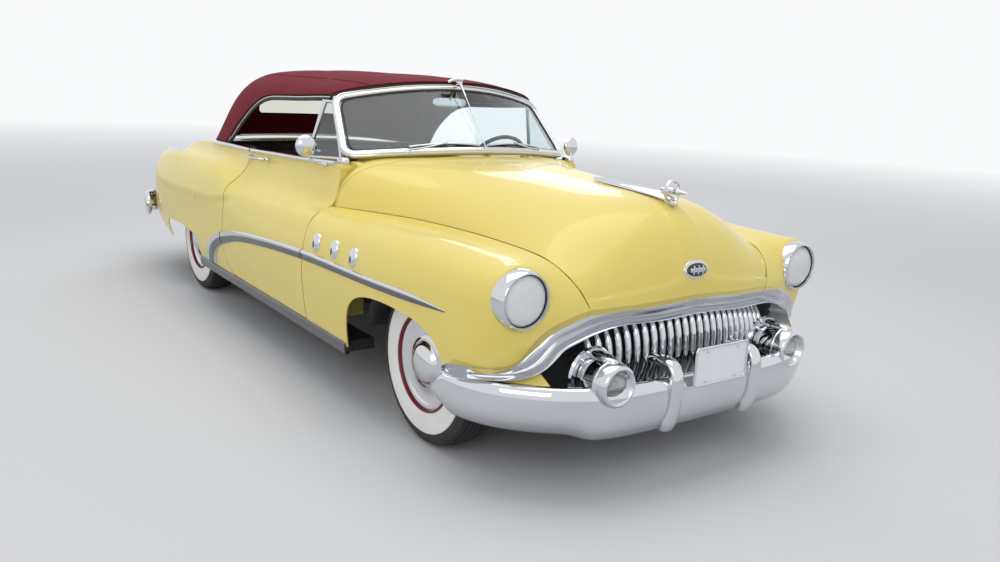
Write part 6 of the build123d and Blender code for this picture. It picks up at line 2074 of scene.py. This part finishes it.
def fin_part():
    """The slim bright fin on the crown of a rear fender, rising to its rear."""
    line = curve([(x, 0, z) for x, z in FIN], 70)
    station = FLANK.at(line[:, 0], np.linspace(0.2, 0.6, 120))
    row = np.arange(len(line))
    crest = station[..., 2].argmax(axis=1)
    path = station[row, crest]
    height = 0.006 + 0.020 * np.sin(pi * np.linspace(0, 1, len(line)) ** 1.5) ** 0.8
    blade = np.array([(1, -0.2), (0.62, 0.35), (0.25, 0.85), (0, 1), (-0.25, 0.85), (-0.62, 0.35),
                      (-1, -0.2), (0, -0.4)])
    scale = np.stack([0.004 + 0.004 * height / 0.026, height], axis=1)
    return swept(path, blade[None] * scale[:, None, :])


def trunk_trim_parts():
    """The lid's bright handle and hinges, and the blank rear plate with its lamp."""
    handle = joined(rounded((-2.398, 0, 0.770), (0.016, 0.100, 0.014), 3),
                    turned([(0, 0.0), (0, 0.020), (0.012, 0.018), (0.020, 0.010), (0.022, 0.0)],
                           (-2.405, 0, 0.742), (-1, 0, 0.4), 32))
    hinges = joined(*(rounded((-1.705, side * TRUNK_HINGE_Y, 1.033), (0.046, 0.016, 0.010),
                              3) for side in (-1, 1)))
    plate = rounded((-2.488, 0, 0.560), (0.0022, 0.150, 0.075), 14, (20, 64))
    hood = rounded((-2.484, 0, 0.655), (0.020, 0.045, 0.014), 3)
    return joined(handle, hinges), plate, hood


class CAR_OT_rear_end(bpy.types.Operator):
    """Rear bumper, tail panel, lamps, fins and trunk fittings"""

    bl_idname = "car.rear_end"
    bl_label = "Rear end"

    def execute(self, context):
        put_on("rear_blade", rear_bumper_part(), "chrome", sharp=50, replaces=("rear_bumper",))
        put_on("rear_guards", both(rear_guard_part()), "chrome", sharp=50)
        put_on("tail_panel", tail_panel_part(), "paint", wall=SKIN)
        bezels, lenses = tail_lamp_parts()
        put_on("tail_bezels", both(bezels), "chrome", sharp=50)
        put_on("tail_lenses", both(lenses), "red_lens", sharp=50, replaces=("tail_lamps",))
        put_on("fins", both(fin_part()), "chrome", sharp=50)
        bright, plate, lamp = trunk_trim_parts()
        put_on("trunk_fittings", bright, "chrome", body="trunk_lid", sharp=50)
        put_on("rear_plate_blank", plate, "plate")
        put_on("rear_plate_lamp", lamp, "chrome")
        return {"FINISHED"}


# Engine room and underbody

CYLINDERS = 8
ENGINE_TOP_Z = 0.875


def engine_parts():
    """The engine's castings, its bright covers, its dark fittings and its pipes."""
    block = rounded((1.480, 0, 0.600), (0.375, 0.150, 0.240), 9)
    sump = rounded((1.460, 0, 0.350), (0.330, 0.120, 0.070), 7)
    bell = turned([(-0.10, 0.0), (-0.10, 0.13), (-0.02, 0.19), (0.05, 0.20), (0.05, 0.0)],
                  (1.090, 0, 0.530), (1, 0, 0), 48)
    manifold = [rounded((1.205 + 0.078 * k, 0.185, 0.700), (0.020, 0.055, 0.022), 3,
                        (12, 20)) for k in range(CYLINDERS)]
    manifold.append(swept(curve([(1.170, 0.240, 0.700), (1.480, 0.246, 0.690), (1.790, 0.240, 0.700)], 20),
                          circle(0.032, 20)))
    cover = rounded((1.480, 0, ENGINE_TOP_Z - 0.010), (0.345, 0.075, 0.050), 6)
    air_box = turned([(-0.065, 0.0), (-0.065, 0.125), (-0.045, 0.135), (0.035, 0.135), (0.055, 0.120),
                      (0.065, 0.05), (0.068, 0.0)], (1.440, 0.110, 0.985), (0, 0, 1), 56)
    neck = turned([(-0.10, 0.0), (-0.10, 0.045), (0.02, 0.045), (0.02, 0.0)], (1.440, 0.150, 0.900),
                  (0, 0, 1), 32)
    plugs = joined(*(turned([(0, 0.0), (0, 0.010), (0.030, 0.009), (0.036, 0.0)],
                            (1.215 + 0.076 * k, -0.150, 0.800),
                            (0, -1, 0.6), 16) for k in range(CYLINDERS)))
    leads = [swept(curve([(1.215 + 0.076 * k, -0.172, 0.822), (1.30 + 0.045 * k, -0.180, 0.870),
                          (1.440, -0.130, 0.905)], 14),
                   circle(0.0045, 8)) for k in range(CYLINDERS)]
    hub = turned([(0, 0.0), (0, 0.075), (0.030, 0.075), (0.030, 0.0)], (1.880, 0, 0.660), (1, 0, 0), 36)
    blades = []
    for k in range(4):
        turn = k * pi / 2 + 0.35
        root = np.array((1.925, 0.060 * cos(turn), 0.660 + 0.060 * sin(turn)))
        tip = np.array((1.925, 0.205 * cos(turn), 0.660 + 0.205 * sin(turn)))
        blades.append(swept(np.linspace(root, tip, 6), oblong(0.040, 0.003, 3),
                            up=(1, 0.35 * -sin(turn), 0.35 * cos(turn))))
    hose = swept(curve([(1.860, 0.050, 0.870), (1.960, 0.060, 0.885), (2.080, 0.070, 0.850),
                        (2.180, 0.080, 0.800)], 24),
                 circle(0.028, 18))
    battery = rounded((1.060, -0.330, 0.760), (0.105, 0.080, 0.095), 9)
    caps = joined(*(rounded((1.060 + dx, -0.330, 0.862), (0.014, 0.014, 0.010), 3,
                            (8, 14)) for dx in (-0.06, 0, 0.06)))
    castings = joined(block, sump, bell, *manifold)
    return castings, cover, joined(air_box, neck, hub, *blades,
                                   battery), joined(hose, *leads), joined(plugs, caps)


def wheel_liner(x, radius, inner, outer, start, end):
    """Half a dark drum over a wheel, open outwards."""
    angle = np.linspace(radians(start), radians(end), 50)
    z = 0.335 + radius * np.sin(angle)
    drum = np.stack([np.stack([x + radius * np.cos(angle), np.full_like(angle, y), z], axis=1)
                     for y in np.linspace(inner, outer, 8)], axis=1)
    return outward(sheet(drum), (x, 0.75, 0.335))


def trunk_corner():
    """The trunk's floor beside the wheelhouse, out to the quarter panel."""
    x = np.linspace(-2.405, -1.703, 20)[:, None]
    skin = np.interp(x, [-2.440, -2.360, -2.250, -2.100, -1.850, -1.600],
                     [0.800, 0.835, 0.868, 0.898, 0.928, 0.940])
    y = 0.655 + (skin - 0.014 - 0.655) * np.linspace(0, 1, 8)
    z = 0.486 + 0.052 * ease(y, 0.660, 0.715)
    return outward(sheet(np.stack(np.broadcast_arrays(x, y, z), axis=-1)), (-2.2, 0.75, 0))


def radiator_part():
    """The radiator's side tanks and its filler."""
    x = 2.240
    top = rounded((x, 0, 0.800), (0.045, 0.315, 0.030), 5)
    foot = rounded((x, 0, 0.420), (0.042, 0.315, 0.028), 5)
    cap = turned([(0, 0.0), (0, 0.030), (0.012, 0.030), (0.018, 0.020), (0.018, 0.0)], (x, -0.10, 0.826),
                 (0, 0, 1), 32)
    return joined(top, foot, cap)


class CAR_OT_underbody(bpy.types.Operator):
    """Engine, radiator, chassis, suspension and exhaust"""

    bl_idname = "car.underbody"
    bl_label = "Underbody"

    def execute(self, context):
        castings, cover, dark, hoses, bright = engine_parts()
        put_on("engine_castings", castings, "cast_iron", sharp=50, replaces=("engine",))
        put_on("engine_cover", cover, "cast_iron", sharp=50)
        put_on("engine_fittings", dark, "black_enamel", sharp=45)
        put_on("engine_hoses", hoses, "rubber")
        put_on("engine_bright", bright, "steel", sharp=45)
        put_on("radiator_tanks", radiator_part(), "black_enamel", sharp=50)
        for node in ("chassis_frame", "front_suspension", "rear_axle", "knuckle_left", "knuckle_right",
                     "fuel_tank", "engine_bay", "floor_tub"):
            dress(node, "frame")
        put_on("front_liners", both(wheel_liner(1.773, 0.420, 0.560, 0.905, 12, 168)), "frame", wall=0.004)
        put_on("trunk_corners", both(trunk_corner()), "frame", wall=0.004)
        dress("cowl", "paint")
        dress("exhaust", "pipe")
        dress("radiator", "core")
        sills = both(rounded((0.200, 0.862, 0.296), (0.610, 0.070, 0.020), 12))
        put_on("sill_tops", sills, "paint", sharp=50)
        treads = both(joined(*(rounded((0.200, 0.835 + 0.016 * k, 0.3165), (0.560, 0.004, 0.0022), 4,
                                       (8, 16)) for k in range(5))))
        put_on("sill_treads", treads, "steel")
        return {"FINISHED"}


# Stage

def softbox(name, at, aim, size, power):
    """A square lamp that points at a place."""
    lamp = bpy.data.lights.new(name, "AREA")
    lamp.shape = "RECTANGLE"
    lamp.size, lamp.size_y = size
    lamp.energy = power
    thing = bpy.data.objects.new(name, lamp)
    thing.location = at
    thing.rotation_euler = (Vector(aim) - Vector(at)).to_track_quat("-Z", "Y").to_euler()
    bpy.context.scene.collection.objects.link(thing)


def pale_world():
    """Plain white to the camera and in reflections, and a softer light on the object."""
    world = bpy.data.worlds.new("studio")
    world.use_nodes = True
    nodes, links = world.node_tree.nodes, world.node_tree.links
    nodes.clear()
    ray = nodes.new("ShaderNodeLightPath")
    seen = ray.outputs["Is Camera Ray"]
    for kind in ("Is Glossy Ray", "Is Transmission Ray"):
        larger = nodes.new("ShaderNodeMath")
        larger.operation = "MAXIMUM"
        links.new(seen, larger.inputs[0])
        links.new(ray.outputs[kind], larger.inputs[1])
        seen = larger.outputs["Value"]
    light, backdrop = nodes.new("ShaderNodeBackground"), nodes.new("ShaderNodeBackground")
    light.inputs["Color"].default_value = (0.93, 0.96, 1, 1)
    light.inputs["Strength"].default_value = 0.72
    backdrop.inputs["Color"].default_value = (0.95, 0.96, 0.97, 1)
    backdrop.inputs["Strength"].default_value = 1.0
    mix, out = nodes.new("ShaderNodeMixShader"), nodes.new("ShaderNodeOutputWorld")
    links.new(seen, mix.inputs["Fac"])
    links.new(light.outputs["Background"], mix.inputs[1])
    links.new(backdrop.outputs["Background"], mix.inputs[2])
    links.new(mix.outputs["Shader"], out.inputs["Surface"])
    bpy.context.scene.world = world


def floor_finish():
    """A plain pale floor that turns to the backdrop's white far from the object."""
    finish = new_finish("floor", (0.66, 0.66, 0.67), 0.85, Emission_Color=(0.95, 0.96, 0.97, 1),
                        Specular_IOR_Level=0.0)
    place = wire(finish, "ShaderNodeTexCoord").outputs["Object"]
    away = finish.node_tree.nodes.new("ShaderNodeVectorMath")
    away.operation = "LENGTH"
    put(finish, away.inputs[0], place)
    far = spread(finish, away.outputs["Value"], 0.0, 1.0, start=5.0, end=22.0)
    vary_colour(finish, far, (0.66, 0.66, 0.67), (0.0, 0.0, 0.0))
    put(finish, shader_of(finish).inputs["Emission Strength"], far)
    return finish


def lay_floor():
    """A wide plain floor on the ground."""
    edge = 60.0
    corners = np.array([(-edge, -edge, 0), (edge, -edge, 0), (edge, edge, 0), (-edge, edge, 0)])
    mesh = bpy.data.meshes.new("floor")
    mesh.from_pydata(corners.tolist(), [], [(0, 1, 2, 3)])
    mesh.materials.append(floor_finish())
    floor = bpy.data.objects.new("floor", mesh)
    bpy.context.scene.collection.objects.link(floor)


def set_camera():
    """The camera that took the photograph: its place, aim, tilt and lens."""
    ahead = Vector((cos(CAMERA_YAW) * cos(CAMERA_PITCH), sin(CAMERA_YAW) * cos(CAMERA_PITCH),
                    sin(CAMERA_PITCH)))
    level = ahead.cross(Vector((0, 0, 1))).normalized()
    upright = level.cross(ahead)
    right = cos(CAMERA_ROLL) * level + sin(CAMERA_ROLL) * upright
    up = cos(CAMERA_ROLL) * upright - sin(CAMERA_ROLL) * level
    eye = bpy.data.cameras.new("camera")
    eye.lens = LENS
    eye.sensor_width = SENSOR_WIDTH
    camera = bpy.data.objects.new("camera", eye)
    turn = Matrix((right, up, -ahead)).transposed().to_4x4()
    camera.matrix_world = Matrix.Translation(CAMERA_AT) @ turn
    bpy.context.scene.collection.objects.link(camera)
    bpy.context.scene.camera = camera


class CAR_OT_stage(bpy.types.Operator):
    """Floor, lights, background and camera"""

    bl_idname = "car.stage"
    bl_label = "Stage"

    def execute(self, context):
        lay_floor()
        pale_world()
        softbox("overhead", (0.5, -0.5, 6.5), (0, 0, 0), (7, 5), 170)
        softbox("front_right", (6.0, -5.5, 4.0), (0.5, 0, 0.5), (4, 3), 80)
        softbox("rear_left", (-6.0, 5.0, 4.5), (-0.5, 0, 0.5), (4, 3), 90)
        set_camera()
        context.scene.view_settings.view_transform = "Standard"
        return {"FINISHED"}


OPERATORS = (CAR_OT_panels, CAR_OT_wheels, CAR_OT_bright_trim, CAR_OT_front_end, CAR_OT_rear_end,
             CAR_OT_glass, CAR_OT_soft_top, CAR_OT_cabin, CAR_OT_underbody, CAR_OT_stage)


class CAR_PT_panel(bpy.types.Panel):
    """Lists the convertible's pieces"""

    bl_label = "Convertible"
    bl_idname = "CAR_PT_panel"
    bl_space_type = "VIEW_3D"
    bl_region_type = "UI"
    bl_category = "Convertible"

    def draw(self, context):
        car = context.scene.convertible
        for name in ("paint", "canvas", "leather", "rim", "panel_gap", "whitewall"):
            self.layout.prop(car, name)
        for operator in OPERATORS:
            self.layout.operator(operator.bl_idname)


def register():
    for kind in (CarSettings, *OPERATORS, CAR_PT_panel):
        bpy.utils.register_class(kind)
    bpy.types.Scene.convertible = bpy.props.PointerProperty(type=CarSettings)


def unregister():
    del bpy.types.Scene.convertible
    for kind in (CAR_PT_panel, *reversed(OPERATORS), CarSettings):
        bpy.utils.unregister_class(kind)


def main():
    register()
    for operator in OPERATORS:
        group, name = operator.bl_idname.split(".")
        getattr(getattr(bpy.ops, group), name)()


if __name__ == "__main__":
    main()
